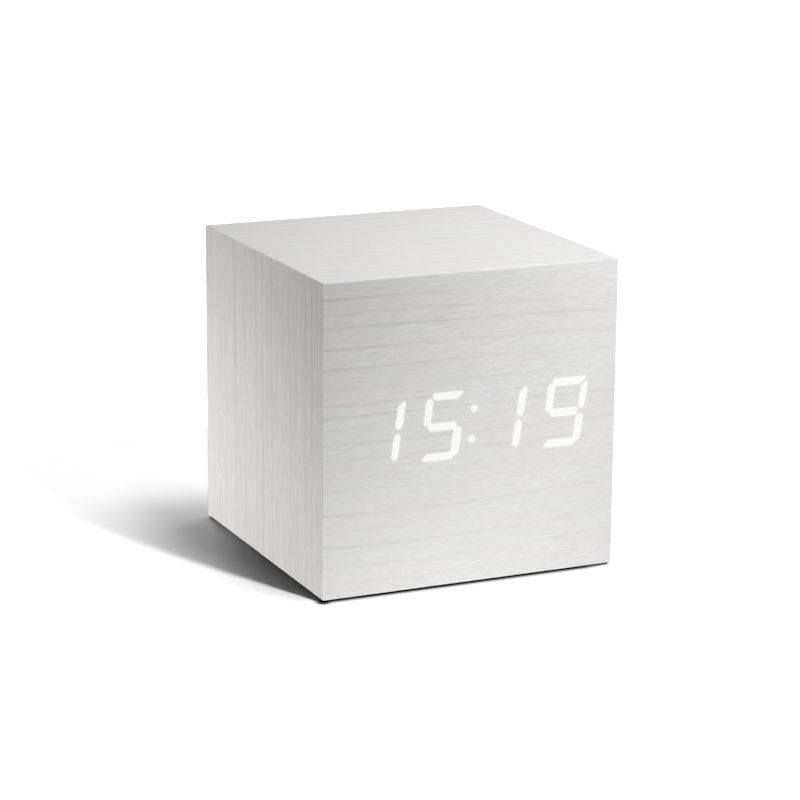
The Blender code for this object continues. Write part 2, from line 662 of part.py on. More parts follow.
# ---- main board and what sits on it ------------------------------------------
main_board = make("main_board", lambda bm: add_box(bm, -25.0, 25.0, -17.5, 17.5, MB_Z0, MB_Z1), PCB)
boolean(main_board, lambda bm: [add_turned(
    bm, [(1.15, MB_Z0 - 1), (1.15, MB_Z1 + 1)], x, y, "z", 10) for x, y in POST])
for i, (x, y) in enumerate((POST[0], POST[3])):
    make("main_board_screw_%d" % (i + 1), lambda bm: add_turned(
        bm, [(0.5, TRAY_TOP + 0.5), (0.8, TRAY_TOP + 1.0), (0.8, MB_Z1 + GAP), (1.8, MB_Z1 + GAP),
             (1.8, MB_Z1 + 1.0), (1.3, MB_Z1 + 1.4)], x, y, "z", 12), STEEL, smooth=True)

ON_MB = MB_Z1 + GAP
make("microcontroller", lambda bm: add_prism(
    bm, [(-11, -11.2), (-0.8, -11.2), (-0.2, -10.6), (-0.2, -1.0), (-11, -1.0)], "z", ON_MB, ON_MB + 1.6), CHIP)
make("clock_crystal", lambda bm: add_turned(
    bm, [(0.9, 1.6), (1.1, 1.8), (1.1, 7.6), (0.9, 7.8)], -8.0, ON_MB + 1.1, "x", 12), STEEL, smooth=True)
buzzer = make("buzzer", lambda bm: add_turned(
    bm, [(6.0, ON_MB), (6.0, ON_MB + 6.2), (5.6, ON_MB + 6.6)], 15.5, -6.5, "z", 24), BLACK, smooth=True)
boolean(buzzer, lambda bm: add_turned(bm, [(1.0, ON_MB + 5.0), (1.0, ON_MB + 8)], 15.5, -6.5, "z", 10))
HOLD_X, HOLD_Y = -10.0, 7.6
holder = make("backup_cell_holder", lambda bm: add_turned(
    bm, [(8.6, ON_MB), (8.6, ON_MB + 2.6)], HOLD_X, HOLD_Y, "z", 28), BLACK)
boolean(holder, lambda bm: add_turned(
    bm, [(7.3, ON_MB + 0.8), (7.3, ON_MB + 4)], HOLD_X, HOLD_Y, "z", 28))
boolean(holder, lambda bm: add_box(
    bm, HOLD_X - 2.0, HOLD_X + 2.0, HOLD_Y + 5, HOLD_Y + 10, ON_MB + 0.8, ON_MB + 4))
make("backup_cell", lambda bm: add_turned(
    bm, [(6.8, ON_MB + 1.1), (6.9, ON_MB + 1.3), (6.9, ON_MB + 2.7), (6.6, ON_MB + 3.0)],
    HOLD_X, HOLD_Y, "z", 24), STEEL, smooth=True)

# ---- wiring, held at both ends -----------------------------------------------
for s, name, mat in ((-1, "battery_wire_black", DARK), (1, "battery_wire_red", RED)):
    route = smooth_path([(s * WIRE_X, WIRE_Y, 12.0), (s * WIRE_X, WIRE_Y, 15.2), (s * 18.5, -20.9, 19.0),
                         (s * 18.2, -19.0, 22.4), (s * 17.8, -16.2, 22.9), (s * 17.6, -14.6, 21.9)], 4)
    make(name, lambda bm: add_tube(bm, route, 0.5, 8), mat, smooth=True)


def ribbon(bm, path, x0, x1, t=0.4):
    """Flat strip of width x0..x1 along a path of (y, z) points."""
    pts = [Vector((0.0, y, z)) for y, z in path]
    pts = smooth_path(pts, 4)
    sections = []
    for i, p in enumerate(pts):
        tan = (pts[min(i + 1, len(pts) - 1)] - pts[max(i - 1, 0)]).normalized()
        nrm = Vector((0.0, -tan.z, tan.y)) * (t / 2)
        a, b = p + nrm, p - nrm
        sections.append([(x0, a.y, a.z), (x1, a.y, a.z), (x1, b.y, b.z), (x0, b.y, b.z)])
    add_loft(bm, sections)


make("display_ribbon", lambda bm: ribbon(
    bm, [(DB_Y1 + 0.5, 31.5), (DB_Y1 + 0.9, 29.0), (DB_Y1 + 2.6, 26.0), (-18.5, 23.0), (-14.6, 21.3),
         (-12.6, 21.15)], -2.0, 10.0), GREY)
make("control_ribbon", lambda bm: ribbon(
    bm, [(CB_Y0 - 0.5, 47.0), (CB_Y0 - 0.9, 43.0), (CB_Y0 - 2.0, 35.0), (18.6, 26.0), (15.6, 21.9),
         (12.6, 21.15)], 3.0, 15.0), GREY)
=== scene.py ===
import math

import bmesh
import bpy
import numpy as np
from mathutils import Euler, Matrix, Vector, geometry


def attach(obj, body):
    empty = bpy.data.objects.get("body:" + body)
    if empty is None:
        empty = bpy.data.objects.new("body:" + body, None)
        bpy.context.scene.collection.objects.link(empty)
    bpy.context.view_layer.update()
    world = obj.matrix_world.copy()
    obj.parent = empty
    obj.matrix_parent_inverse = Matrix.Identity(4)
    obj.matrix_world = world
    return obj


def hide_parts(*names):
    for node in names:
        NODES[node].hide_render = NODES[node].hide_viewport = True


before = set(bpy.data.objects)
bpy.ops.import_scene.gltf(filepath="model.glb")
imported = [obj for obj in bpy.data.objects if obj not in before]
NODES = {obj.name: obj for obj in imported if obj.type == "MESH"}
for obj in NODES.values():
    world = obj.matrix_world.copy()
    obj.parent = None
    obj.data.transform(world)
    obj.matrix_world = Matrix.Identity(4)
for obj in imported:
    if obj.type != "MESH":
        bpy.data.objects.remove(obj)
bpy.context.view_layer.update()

MM = 0.001

# ------------------------------------------------------------------ sizes, mm
HX = HY = 34.0
Z0 = 0.5
Z1 = 68.0
WALL = 3.5
IX = HX - WALL
IZ0 = Z0 + WALL
IZ1 = Z1 - WALL
VENEER_T = 0.5
PLATE_PROUD = 0.012    # the lit shapes stand this much in front of the veneer's face
SEAM = 0.02
FACE_Y = -HY + PLATE_PROUD

# the display's digits
DIGIT_H = 14.95
SLANT = 0.137
# left, foot, width and height factors, segments
DIGITS = ((-25.73, 27.97, 1.0, 1.0, "bc"), (-11.60, 28.03, 0.972, 0.977, "afgcd"),
          (2.45, 28.20, 1.0, 1.0, "bc"), (16.90, 28.06, 1.0, 1.0107, "abfgcd"))
# small differences of one stroke to the next: (digit, segment) -> mm that its sides move
# (left and right, or lower and upper) and that its ends move (lower and upper, or left and right)
STROKES = {
    (0, "b"): (-0.15, 0.07, -0.25, -0.31), (0, "c"): (0.0, -0.055, 0.0, -0.25),
    (1, "f"): (0.0, 0.05, -0.10, 0.0), (1, "c"): (-0.27, 0.05, -0.14, 0.10),
    (1, "a"): (0.075, 0.0, 0.25, 0.18), (1, "g"): (0.0, 0.0, 0.04, 0.06), (1, "d"): (0.0, -0.05, -0.06, 0.06),
    (2, "b"): (-0.20, 0.09, -0.27, -0.13), (2, "c"): (-0.07, -0.02, -0.10, -0.25),
    (3, "f"): (-0.09, -0.02, -0.12, 0.06), (3, "b"): (-0.045, 0.02, 0.0, -0.11), (3, "c"): (-0.06, 0.07, 0.0, -0.09),
    (3, "a"): (0.0, 0.0, -0.15, 0.32), (3, "g"): (0.0, 0.03, 0.0, 0.04), (3, "d"): (0.0, 0.0, -0.15, 0.02)}
COLON = ((0.43, 38.50), (-0.09, 31.90))
COLON_R = 0.80
LIT_LEVEL = 0.84

# ============================================================ mesh helpers


def link(ob):
    bpy.context.scene.collection.objects.link(ob)
    return ob


def add_loft(bm, sections, cap=True):
    rings = [[bm.verts.new(p) for p in ring] for ring in sections]
    n = len(rings[0])
    for a, b in zip(rings, rings[1:]):
        for i in range(n):
            j = (i + 1) % n
            bm.faces.new((a[i], a[j], b[j], b[i]))
    if cap:
        bm.faces.new(list(reversed(rings[0])))
        bm.faces.new(rings[-1])
    return rings


def place(u, v, w, axis):
    if axis == "z":
        return (u, v, w)
    if axis == "y":
        return (u, w, v)
    return (w, u, v)


def add_prism(bm, outline, axis, lo, hi):
    add_loft(bm, [[place(u, v, w, axis) for u, v in outline] for w in (lo, hi)])


def add_box(bm, x0, x1, y0, y1, z0, z1):
    add_prism(bm, [(x0, y0), (x1, y0), (x1, y1), (x0, y1)], "z", z0, z1)


def round_rect(u0, u1, v0, v1, r, steps=4):
    pts = []
    for cu, cv, start in ((u1 - r, v0 + r, -90), (u1 - r, v1 - r, 0),
                          (u0 + r, v1 - r, 90), (u0 + r, v0 + r, 180)):
        for k in range(steps + 1):
            a = math.radians(start + 90.0 * k / steps)
            pts.append((cu + r * math.cos(a), cv + r * math.sin(a)))
    return pts


def circle(cu, cv, r, n):
    return [(cu + r * math.cos(2 * math.pi * k / n),
             cv + r * math.sin(2 * math.pi * k / n)) for k in range(n)]


def add_turned(bm, profile, cu, cv, axis, n=48):
    add_loft(bm, [[place(u, v, h, axis) for u, v in circle(cu, cv, r, n)]
                  for r, h in profile])


def finish_mesh(name, bm, smooth=True, angle=35):
    bmesh.ops.recalc_face_normals(bm, faces=bm.faces)
    for v in bm.verts:
        v.co = v.co * MM
    mesh = bpy.data.meshes.new(name)
    bm.to_mesh(mesh)
    bm.free()
    if smooth:
        mesh.shade_smooth()
        mesh.set_sharp_from_angle(angle=math.radians(angle))
    return mesh


def make(name, build, mat, smooth=True, angle=35):
    bm = bmesh.new()
    build(bm)
    ob = link(bpy.data.objects.new(name, finish_mesh(name, bm, smooth, angle)))
    ob.data.materials.append(mat)
    return ob


def apply_modifiers(ob):
    deps = bpy.context.evaluated_depsgraph_get()
    mesh = bpy.data.meshes.new_from_object(ob.evaluated_get(deps))
    ob.modifiers.clear()
    ob.data = mesh
    return ob


def boolean(ob, build, operation="DIFFERENCE"):
    bm = bmesh.new()
    build(bm)
    tool = link(bpy.data.objects.new("tool", finish_mesh("tool", bm, smooth=False)))
    mod = ob.modifiers.new("cut", "BOOLEAN")
    mod.operation = operation
    mod.solver = "EXACT"
    mod.object = tool
    bpy.context.view_layer.update()
    apply_modifiers(ob)
    bpy.data.objects.remove(tool, do_unlink=True)
    return ob


def bevel(ob, width, segments=3, angle=40):
    mod = ob.modifiers.new("edge", "BEVEL")
    mod.width = width * MM
    mod.segments = segments
    mod.limit_method = "ANGLE"
    mod.angle_limit = math.radians(angle)
    mod.harden_normals = False
    mod.use_clamp_overlap = True
    bpy.context.view_layer.update()
    apply_modifiers(ob)
    ob.data.shade_smooth()
    ob.data.set_sharp_from_angle(angle=math.radians(35))
    return ob


# ======================================================== material helpers


class Graph:
    """A small helper for building a node material."""

    def __init__(self, name, rough=0.5, metallic=0.0, specular=None, coat=None):
        self.mat = bpy.data.materials.new(name)
        self.mat.use_nodes = True
        self.tree = self.mat.node_tree
        self.bsdf = self.tree.nodes["Principled BSDF"]
        self.bsdf.inputs["Roughness"].default_value = rough
        self.bsdf.inputs["Metallic"].default_value = metallic
        if specular is not None:
            self.bsdf.inputs["Specular IOR Level"].default_value = specular
        if coat is not None:
            self.bsdf.inputs["Coat Weight"].default_value = coat[0]
            self.bsdf.inputs["Coat Roughness"].default_value = coat[1]

    def node(self, kind, **values):
        n = self.tree.nodes.new(kind)
        for k, v in values.items():
            setattr(n, k, v)
        return n

    def put(self, socket, value):
        if isinstance(value, bpy.types.NodeSocket):
            self.tree.links.new(value, socket)
        elif isinstance(value, (tuple, list)) and len(value) == 3 and socket.type == "RGBA":
            socket.default_value = (*value, 1.0)
        else:
            socket.default_value = value

    def math(self, op, a, b=None, c=None, clamp=False):
        n = self.node("ShaderNodeMath", operation=op, use_clamp=clamp)
        for i, v in enumerate((a, b, c)):
            if v is not None:
                self.put(n.inputs[i], v)
        return n.outputs[0]

    def mix(self, fac, a, b, blend="MIX"):
        n = self.node("ShaderNodeMix", data_type="RGBA", blend_type=blend)
        n.clamp_factor = True
        self.put(n.inputs[0], fac)
        self.put(n.inputs[6], a)
        self.put(n.inputs[7], b)
        return n.outputs[2]

    def coords(self, scale=(1, 1, 1), source="object", offset=(0, 0, 0)):
        """Object coordinates in millimetres, or the mesh's own grain coordinates."""
        if source == "object":
            tc = self.node("ShaderNodeTexCoord").outputs["Object"]
            unit = 1000.0
        else:
            tc = self.node("ShaderNodeAttribute", attribute_name=source).outputs["Vector"]
            unit = 1.0
        m = self.node("ShaderNodeMapping")
        m.inputs["Scale"].default_value = tuple(unit * s for s in scale)
        m.inputs["Location"].default_value = offset
        self.put(m.inputs["Vector"], tc)
        return m.outputs[0]

    def noise(self, vector, scale=1.0, detail=2.0, rough=0.5, distortion=0.0, out="Fac"):
        n = self.node("ShaderNodeTexNoise", noise_dimensions="3D")
        n.inputs["Scale"].default_value = scale
        n.inputs["Detail"].default_value = detail
        n.inputs["Roughness"].default_value = rough
        n.inputs["Distortion"].default_value = distortion
        self.put(n.inputs["Vector"], vector)
        return n.outputs[out]

    def voronoi(self, vector, scale=1.0, feature="F1", out="Distance", randomness=1.0):
        n = self.node("ShaderNodeTexVoronoi", feature=feature)
        n.inputs["Scale"].default_value = scale
        n.inputs["Randomness"].default_value = randomness
        self.put(n.inputs["Vector"], vector)
        return n.outputs[out]

    def ramp(self, value, stops, interpolation="LINEAR"):
        n = self.node("ShaderNodeValToRGB")
        n.color_ramp.interpolation = interpolation
        els = n.color_ramp.elements
        while len(els) > 1:
            els.remove(els[-1])
        for i, (pos, col) in enumerate(stops):
            e = els[0] if i == 0 else els.new(pos)
            e.position = pos
            e.color = (*col, 1.0) if isinstance(col, (tuple, list)) else (col, col, col, 1.0)
        self.put(n.inputs[0], value)
        return n.outputs[0]

    def range(self, value, a0, a1, b0, b1, smooth=False):
        n = self.node("ShaderNodeMapRange", interpolation_type="SMOOTHSTEP" if smooth else "LINEAR")
        self.put(n.inputs[0], value)
        for i, v in enumerate((a0, a1, b0, b1)):
            self.put(n.inputs[i + 1], v)
        return n.outputs[0]

    def bump(self, height, strength=0.3, distance=0.05, normal=None):
        n = self.node("ShaderNodeBump")
        n.inputs["Strength"].default_value = strength
        n.inputs["Distance"].default_value = distance * MM
        self.put(n.inputs["Height"], height)
        if normal is not None:
            self.put(n.inputs["Normal"], normal)
        return n.outputs[0]

    def edge(self, radius=0.15, width=1.0):
        """0 on flat faces, rising to 1 on the edges."""
        b = self.node("ShaderNodeBevel", samples=6)
        b.inputs["Radius"].default_value = radius * MM
        g = self.node("ShaderNodeNewGeometry")
        d = self.node("ShaderNodeVectorMath", operation="DOT_PRODUCT")
        self.put(d.inputs[0], b.outputs[0])
        self.put(d.inputs[1], g.outputs["Normal"])
        return self.range(d.outputs["Value"], 1.0, 1.0 - 0.25 * width, 0.0, 1.0), b.outputs[0]

    def set(self, **values):
        names = {"color": "Base Color", "rough": "Roughness", "normal": "Normal",
                 "metallic": "Metallic", "emission": "Emission Color"}
        for k, v in values.items():
            self.put(self.bsdf.inputs[names[k]], v)
        return self.mat


def split(g, vector):
    s = g.node("ShaderNodeSeparateXYZ")
    g.put(s.inputs[0], vector)
    return s.outputs


def combine(g, x, y, z=0.0):
    c = g.node("ShaderNodeCombineXYZ")
    for i, v in enumerate((x, y, z)):
        g.put(c.inputs[i], v)
    return c.outputs[0]


def wood(name, lines, base=(0.74, 0.7385, 0.729), tint=1.0, seed=0.0, fine=1.0, fade_down=0.0, bowed=True,
         wave=0.5, lead=(1.0, 1.0), lit=False, edge_lighten=0.08, side=None,
         bands=((0.45, 0.035, 0.03), (1.15, 0.07, 0.03), (2.6, 0.16, 0.10), (5.0, 0.34, 0.27))):
    """White-washed wood-effect foil. The mesh's attribute 'grain' holds millimetres along and
    across the grain, and how strongly it shows. side is the colour where it shows most.
    lines are the darker year lines, as (place across the grain, strength, width), or with a
    fourth item for a broad soft band. bands are the fibres, as (how many per mm across, per
    mm along, contrast)."""
    g = Graph(name, rough=0.5, specular=0.35)
    ox, oy, oz = split(g, g.coords())
    u, v, show = split(g, g.node("ShaderNodeAttribute", attribute_name="grain").outputs["Vector"])
    t = g.math("DIVIDE", u, 68.0)
    if bowed:
        # the year lines rise to one end near the top of the face and sag in its lower half
        place_v = g.math("DIVIDE", v, 68.0)
        curve = g.ramp(place_v, [(0.0, 0.90), (0.15, 0.90), (0.44, 0.76), (0.56, 0.55), (0.74, 0.19), (1.0, 0.03)])
        slope = g.ramp(place_v, [(0.0, 0.0), (0.44, 0.0), (0.56, 0.17), (0.74, 0.41), (1.0, 0.46)])
        drift = g.math("ADD", g.math("MULTIPLY", g.math("SUBTRACT", g.math("MULTIPLY", curve, 8.0), 6.0),
                                     g.math("MULTIPLY", t, t)),
                       g.math("MULTIPLY", g.math("MULTIPLY", slope, 8.0), t))
    else:
        drift = g.math("MULTIPLY", t, 0.35)
    wob = g.noise(combine(g, g.math("MULTIPLY", u, 0.06), g.math("MULTIPLY", v, 0.13), seed), 1.0, 2.0, 0.45)
    wob = g.math("MULTIPLY", g.math("SUBTRACT", wob, 0.5), wave)
    vv = g.math("ADD", g.math("SUBTRACT", v, drift), wob)
    pos = g.math("DIVIDE", vv, 68.0)

    def streaks(su, sv, off, detail=2.0):
        return g.noise(combine(g, g.math("MULTIPLY", u, su), g.math("MULTIPLY", vv, sv), seed + off), 1.0, detail, 0.5)

    # year lines: each rises quickly and fades out more slowly, and comes and goes along its way
    total = None
    batch = []
    for k, item in enumerate(lines):
        batch.append(item)
        if len(batch) == 7 or k == len(lines) - 1:
            stops = [(0.0, 0.0)]
            for at, strength, width, *soft in sorted(batch):
                c = at / 68.0
                w = width / 68.0
                if soft:
                    stops += [(c - 0.5 * w, 0.0), (c - 0.2 * w, strength), (c + 0.2 * w, strength), (c + 0.5 * w, 0.0)]
                else:
                    stops += [(c - 0.26 * w, 0.0), (c, strength), (c + 0.24 * w, strength * 0.35), (c + 0.8 * w, 0.0)]
            stops = [x for x in stops if 0.0 <= x[0] <= 1.0][:31]
            out = g.ramp(pos, stops)
            total = out if total is None else g.math("ADD", total, out)
            batch = []
    fade = g.range(streaks(0.05, 0.35, 3.1), 0.38, 0.62, 0.50, 1.15)
    line = g.math("MULTIPLY", total, fade)
    line = g.math("MULTIPLY", line, show)
    if lead != (1.0, 1.0):
        line = g.math("MULTIPLY", line, g.ramp(t, [(0.0, lead[0]), (0.10, lead[0] * 0.9), (0.30, (lead[0] + lead[1]) * 0.42),
                                                   (0.5, lead[1]), (1.0, lead[1] * 0.9)]))

    tone = 1.0
    fibre = None
    for k, (sv, su, amp) in enumerate(bands):
        f = streaks(su, sv, 11.0 + 7.0 * k)
        if k >= 2:
            amp = g.range(v, 0.0, 68.0, amp * fine, amp * fine * (1.0 - fade_down)) if fade_down else amp * fine
        if k >= 1:
            amp = g.math("MULTIPLY", amp, show)
        tone = g.math("ADD", tone, g.math("MULTIPLY", g.math("SUBTRACT", f, 0.5), amp))
        fibre = f

    # short light strokes where the wash has settled in the pores, in loose patches
    patch = g.noise(combine(g, g.math("MULTIPLY", u, 0.055), g.math("MULTIPLY", v, 0.10), seed + 37.0), 1.0, 2.0, 0.5)
    patch = g.range(patch, 0.44, 0.60, 0.12, 1.0)
    long_ones = g.range(streaks(0.34, 4.5, 31.0, 1.0), 0.61, 0.67, 0.0, 1.0)
    short_ones = g.range(streaks(0.75, 4.1, 71.0, 1.0), 0.64, 0.70, 0.0, 1.0)
    light = g.math("MULTIPLY", g.math("MULTIPLY", g.math("MAXIMUM", long_ones, short_ones), patch), show)
    gain = 0.130 * fine
    if fade_down:
        gain = g.range(v, 0.0, 68.0, gain, gain * (1.0 - fade_down))
    tone = g.math("ADD", tone, g.math("MULTIPLY", light, gain))
    dark = g.math("MULTIPLY", g.range(streaks(0.30, 4.6, 53.0, 1.0), 0.37, 0.30, 0.0, 1.0), show)
    tone = g.math("SUBTRACT", tone, g.math("MULTIPLY", dark, 0.065 * fine))

    # the foil is made lighter along its outer edges, in broken patches: a painted highlight
    ax = g.math("SUBTRACT", HX, g.math("ABSOLUTE", ox))
    ay = g.math("SUBTRACT", HY, g.math("ABSOLUTE", oy))
    az = g.math("SUBTRACT", (Z1 - Z0) / 2, g.math("ABSOLUTE", g.math("SUBTRACT", oz, (Z0 + Z1) / 2)))
    second = g.math("MAXIMUM", g.math("MINIMUM", ax, ay), g.math("MINIMUM", g.math("MAXIMUM", ax, ay), az))
    highlight_patches = g.range(g.noise(g.coords((0.4, 0.4, 0.4)), 1.0, 3.0, 0.6), 0.35, 0.6, 0.55, 1.0)
    painted_edge_highlight = g.math("MULTIPLY", g.range(second, 0.10, 0.50, 1.0, 0.0), highlight_patches)
    if edge_lighten:
        tone = g.math("ADD", tone, g.math("MULTIPLY", painted_edge_highlight, edge_lighten))

    # broad, faint warm and cool bands
    band = streaks(0.02, 0.30, 43.0)
    warm = (base[0] * 1.006, base[1] * 0.996, base[2] * 0.988)
    cool = (base[0] * 0.996, base[1] * 1.002, base[2] * 1.006)
    col = g.mix(g.range(band, 0.38, 0.62, 0.0, 1.0), cool, warm)
    if side:
        col = g.mix(g.range(show, 0.6, 1.0, 0.0, 1.0), col, side)
    col = g.mix(g.math("MULTIPLY", light, 0.8), col, (base[0] * 0.985, base[1] * 0.992, base[2] * 1.012))
    shade = g.node("ShaderNodeCombineColor")
    for i in range(3):
        g.put(shade.inputs[i], tone)
    col = g.mix(1.0, col, shade.outputs[0], "MULTIPLY")
    red = (base[0] * 0.80, base[1] * 0.69, base[2] * 0.655)
    col = g.mix(g.math("MULTIPLY", line, tint, clamp=True), col, red)

    rough = g.math("SUBTRACT", g.range(fibre, 0.3, 0.7, 0.60, 0.48), g.math("MULTIPLY", light, 0.07))
    height = g.math("ADD", g.math("MULTIPLY", fibre, 0.6), g.math("MULTIPLY", light, 0.4))
    height = g.math("SUBTRACT", height, g.math("MULTIPLY", g.math("ADD", dark, line), 0.35))
    if lit:
        # where a segment shines through, its light takes the place of the foil's own colour
        glow = g.node("ShaderNodeAttribute", attribute_name="glow").outputs["Fac"]
        glow = g.range(glow, 0.0, 1.0, 0.0, 1.0, smooth=True)
        col = g.mix(glow, col, (0.12, 0.12, 0.12))
        white = g.node("ShaderNodeCombineColor")
        for i, k in enumerate((1.0, 0.998, 0.992)):
            g.put(white.inputs[i], g.math("MULTIPLY", glow, LIT_LEVEL * k))
        g.set(emission=white.outputs[0])
        g.bsdf.inputs["Emission Strength"].default_value = 1.0
    g.set(color=col, rough=rough, normal=g.bump(height, 0.22, 0.05))
    return g.mat


def plastic(name, color, rough, grain=0.35, scale=3.5, spec=0.5, edge=0.2, dust=0.0):
    """Moulded plastic with a fine spark-eroded texture and slightly polished edges."""
    g = Graph(name, rough=rough, specular=spec)
    c = g.coords()
    fine = g.noise(c, scale, 3.0, 0.6)
    broad = g.noise(c, 0.12, 2.0, 0.5)
    lo = tuple(x * 0.86 for x in color)
    hi = tuple(min(1.0, x * 1.16 + 0.004) for x in color)
    col = g.mix(g.range(broad, 0.35, 0.65, 0.0, 1.0), lo, hi)
    edge_lighten, rounded = g.edge(0.12)
    col = g.mix(g.math("MULTIPLY", edge_lighten, edge), col, tuple(min(1.0, x * 1.5 + 0.02) for x in color))
    if dust:
        d = g.range(g.noise(c, 1.2, 4.0, 0.7), 0.55, 0.72, 0.0, dust)
        col = g.mix(d, col, (0.35, 0.34, 0.32))
    r = g.range(fine, 0.3, 0.7, rough - 0.08, rough + 0.08)
    r = g.math("SUBTRACT", r, g.math("MULTIPLY", edge_lighten, 0.12), clamp=True)
    return g.set(color=col, rough=r, normal=g.bump(fine, grain, 0.03, rounded))


def metal(name, color, rough, along=(0.2, 6.0, 6.0)):
    """Plated metal with fine drawing marks and a few dull spots."""
    g = Graph(name, rough=rough, metallic=1.0)
    c = g.coords(along)
    marks = g.noise(c, 1.0, 3.0, 0.6)
    spots = g.noise(g.coords(), 0.9, 3.0, 0.6)
    col = g.mix(g.range(spots, 0.35, 0.7, 0.0, 1.0), tuple(x * 1.08 for x in color), tuple(x * 0.82 for x in color))
    r = g.math("ADD", g.range(marks, 0.3, 0.7, rough - 0.06, rough + 0.06), g.range(spots, 0.5, 0.75, 0.0, 0.12))
    _, rounded = g.edge(0.08)
    return g.set(color=col, rough=r, normal=g.bump(marks, 0.12, 0.02, rounded))


def rubber(name):
    g = Graph(name, rough=0.85, specular=0.3)
    c = g.coords()
    n = g.noise(c, 5.0, 3.0, 0.65)
    dust = g.range(g.noise(c, 0.8, 3.0, 0.6), 0.5, 0.75, 0.0, 0.25)
    col = g.mix(dust, (0.018, 0.018, 0.018), (0.075, 0.072, 0.068))
    return g.set(color=col, rough=g.range(n, 0.3, 0.7, 0.78, 0.92), normal=g.bump(n, 0.4, 0.04))


def fibreboard():
    g = Graph("fibreboard_raw", rough=0.85, specular=0.2)
    c = g.coords((1.2, 1.2, 1.2))
    a = g.noise(c, 2.2, 4.0, 0.7)
    b = g.noise(g.coords((3.0, 0.6, 3.0)), 2.0, 2.0, 0.6)
    col = g.mix(g.range(a, 0.35, 0.65, 0.0, 1.0), (0.36, 0.245, 0.15), (0.50, 0.37, 0.25))
    col = g.mix(g.range(b, 0.55, 0.75, 0.0, 0.35), col, (0.60, 0.48, 0.34))
    return g.set(color=col, rough=g.range(a, 0.3, 0.7, 0.78, 0.92), normal=g.bump(a, 0.5, 0.06))


def circuit(name, plane="xz", seed=0.0):
    """Green solder mask over copper tracks, with tinned pads."""
    g = Graph(name, rough=0.35, specular=0.5)
    c = g.coords()
    x, y, z = split(g, c)
    p, q = (x, z) if plane == "xz" else (x, y)
    v2 = combine(g, p, q, seed)
    cells = g.voronoi(combine(g, p, q, seed), 0.28, "F1", "Color")
    which = split(g, cells)[0]
    stripe_p = g.math("FRACT", g.math("MULTIPLY", p, 0.9))
    stripe_q = g.math("FRACT", g.math("MULTIPLY", q, 0.9))
    sp = g.range(g.math("ABSOLUTE", g.math("SUBTRACT", stripe_p, 0.5)), 0.16, 0.20, 1.0, 0.0)
    sq = g.range(g.math("ABSOLUTE", g.math("SUBTRACT", stripe_q, 0.5)), 0.16, 0.20, 1.0, 0.0)
    use_p = g.math("GREATER_THAN", which, 0.62)
    use_q = g.math("LESS_THAN", which, 0.30)
    track = g.math("MAXIMUM", g.math("MULTIPLY", sp, use_p), g.math("MULTIPLY", sq, use_q))
    dots = g.node("ShaderNodeTexVoronoi", feature="F1")
    dots.inputs["Scale"].default_value = 0.22
    dots.inputs["Randomness"].default_value = 0.75
    g.put(dots.inputs["Vector"], v2)
    pad = g.range(dots.outputs["Distance"], 0.115, 0.135, 1.0, 0.0)
    hole = g.range(dots.outputs["Distance"], 0.05, 0.06, 1.0, 0.0)
    mottled = g.noise(c, 0.5, 3.0, 0.6)
    mask = g.mix(g.range(mottled, 0.3, 0.7, 0.0, 1.0), (0.012, 0.10, 0.035), (0.02, 0.135, 0.05))
    col = g.mix(g.math("MULTIPLY", track, 0.75), mask, (0.05, 0.22, 0.07))
    col = g.mix(pad, col, (0.62, 0.60, 0.55))
    col = g.mix(hole, col, (0.02, 0.02, 0.02))
    h = g.math("ADD", g.math("MULTIPLY", track, 0.5), g.math("SUBTRACT", pad, hole))
    met = g.math("MULTIPLY", g.math("SUBTRACT", pad, hole, clamp=True), 0.9)
    return g.set(color=col, rough=g.range(mottled, 0.3, 0.7, 0.28, 0.4), metallic=met, normal=g.bump(h, 0.5, 0.04))


def banded_cell():
    """Shrink-sleeved dry cell: dark body with a coppery band at the positive end."""
    g = Graph("cell_shrink_sleeve", rough=0.25, specular=0.5, coat=(0.4, 0.1))
    c = g.coords()
    x, y, z = split(g, c)
    # alternate cells point the other way, so the band is taken from the cell's own column
    col_index = g.math("FLOOR", g.math("DIVIDE", g.math("ADD", x, 22.0), 11.0))
    odd = g.math("FLOORED_MODULO", col_index, 2.0)
    yy = g.math("ADD", g.math("MULTIPLY", y, g.math("SUBTRACT", 1.0, g.math("MULTIPLY", odd, 2.0))),
                g.math("MULTIPLY", odd, 5.2))
    band = g.range(yy, 13.2, 13.4, 0.0, 1.0)
    thin = g.math("MULTIPLY", g.range(yy, 12.2, 12.3, 0.0, 1.0), g.range(yy, 12.7, 12.8, 1.0, 0.0))
    ends = g.math("GREATER_THAN", yy, 25.4)
    seamn = g.noise(g.coords((0.3, 0.05, 0.3)), 2.0, 2.0, 0.5)
    col = g.mix(band, (0.018, 0.022, 0.03), (0.55, 0.27, 0.10))
    col = g.mix(thin, col, (0.75, 0.72, 0.66))
    col = g.mix(g.range(seamn, 0.4, 0.7, 0.0, 0.2), col, (0.10, 0.10, 0.11))
    col = g.mix(ends, col, (0.62, 0.61, 0.58))
    rip = g.noise(g.coords((1.0, 0.25, 1.0)), 1.4, 3.0, 0.6)
    return g.set(color=col, rough=g.range(rip, 0.3, 0.7, 0.2, 0.34), metallic=g.math("MULTIPLY", ends, 0.9),
                 normal=g.bump(rip, 0.10, 0.05))


def insulation(name, color):
    g = Graph(name, rough=0.35, specular=0.5)
    c = g.coords((1.0, 1.0, 1.0))
    n = g.noise(c, 2.0, 3.0, 0.6)
    col = g.mix(g.range(n, 0.35, 0.65, 0.0, 1.0), tuple(x * 0.8 for x in color), tuple(min(1, x * 1.15) for x in color))
    return g.set(color=col, rough=g.range(n, 0.3, 0.7, 0.28, 0.42), normal=g.bump(n, 0.12, 0.03))


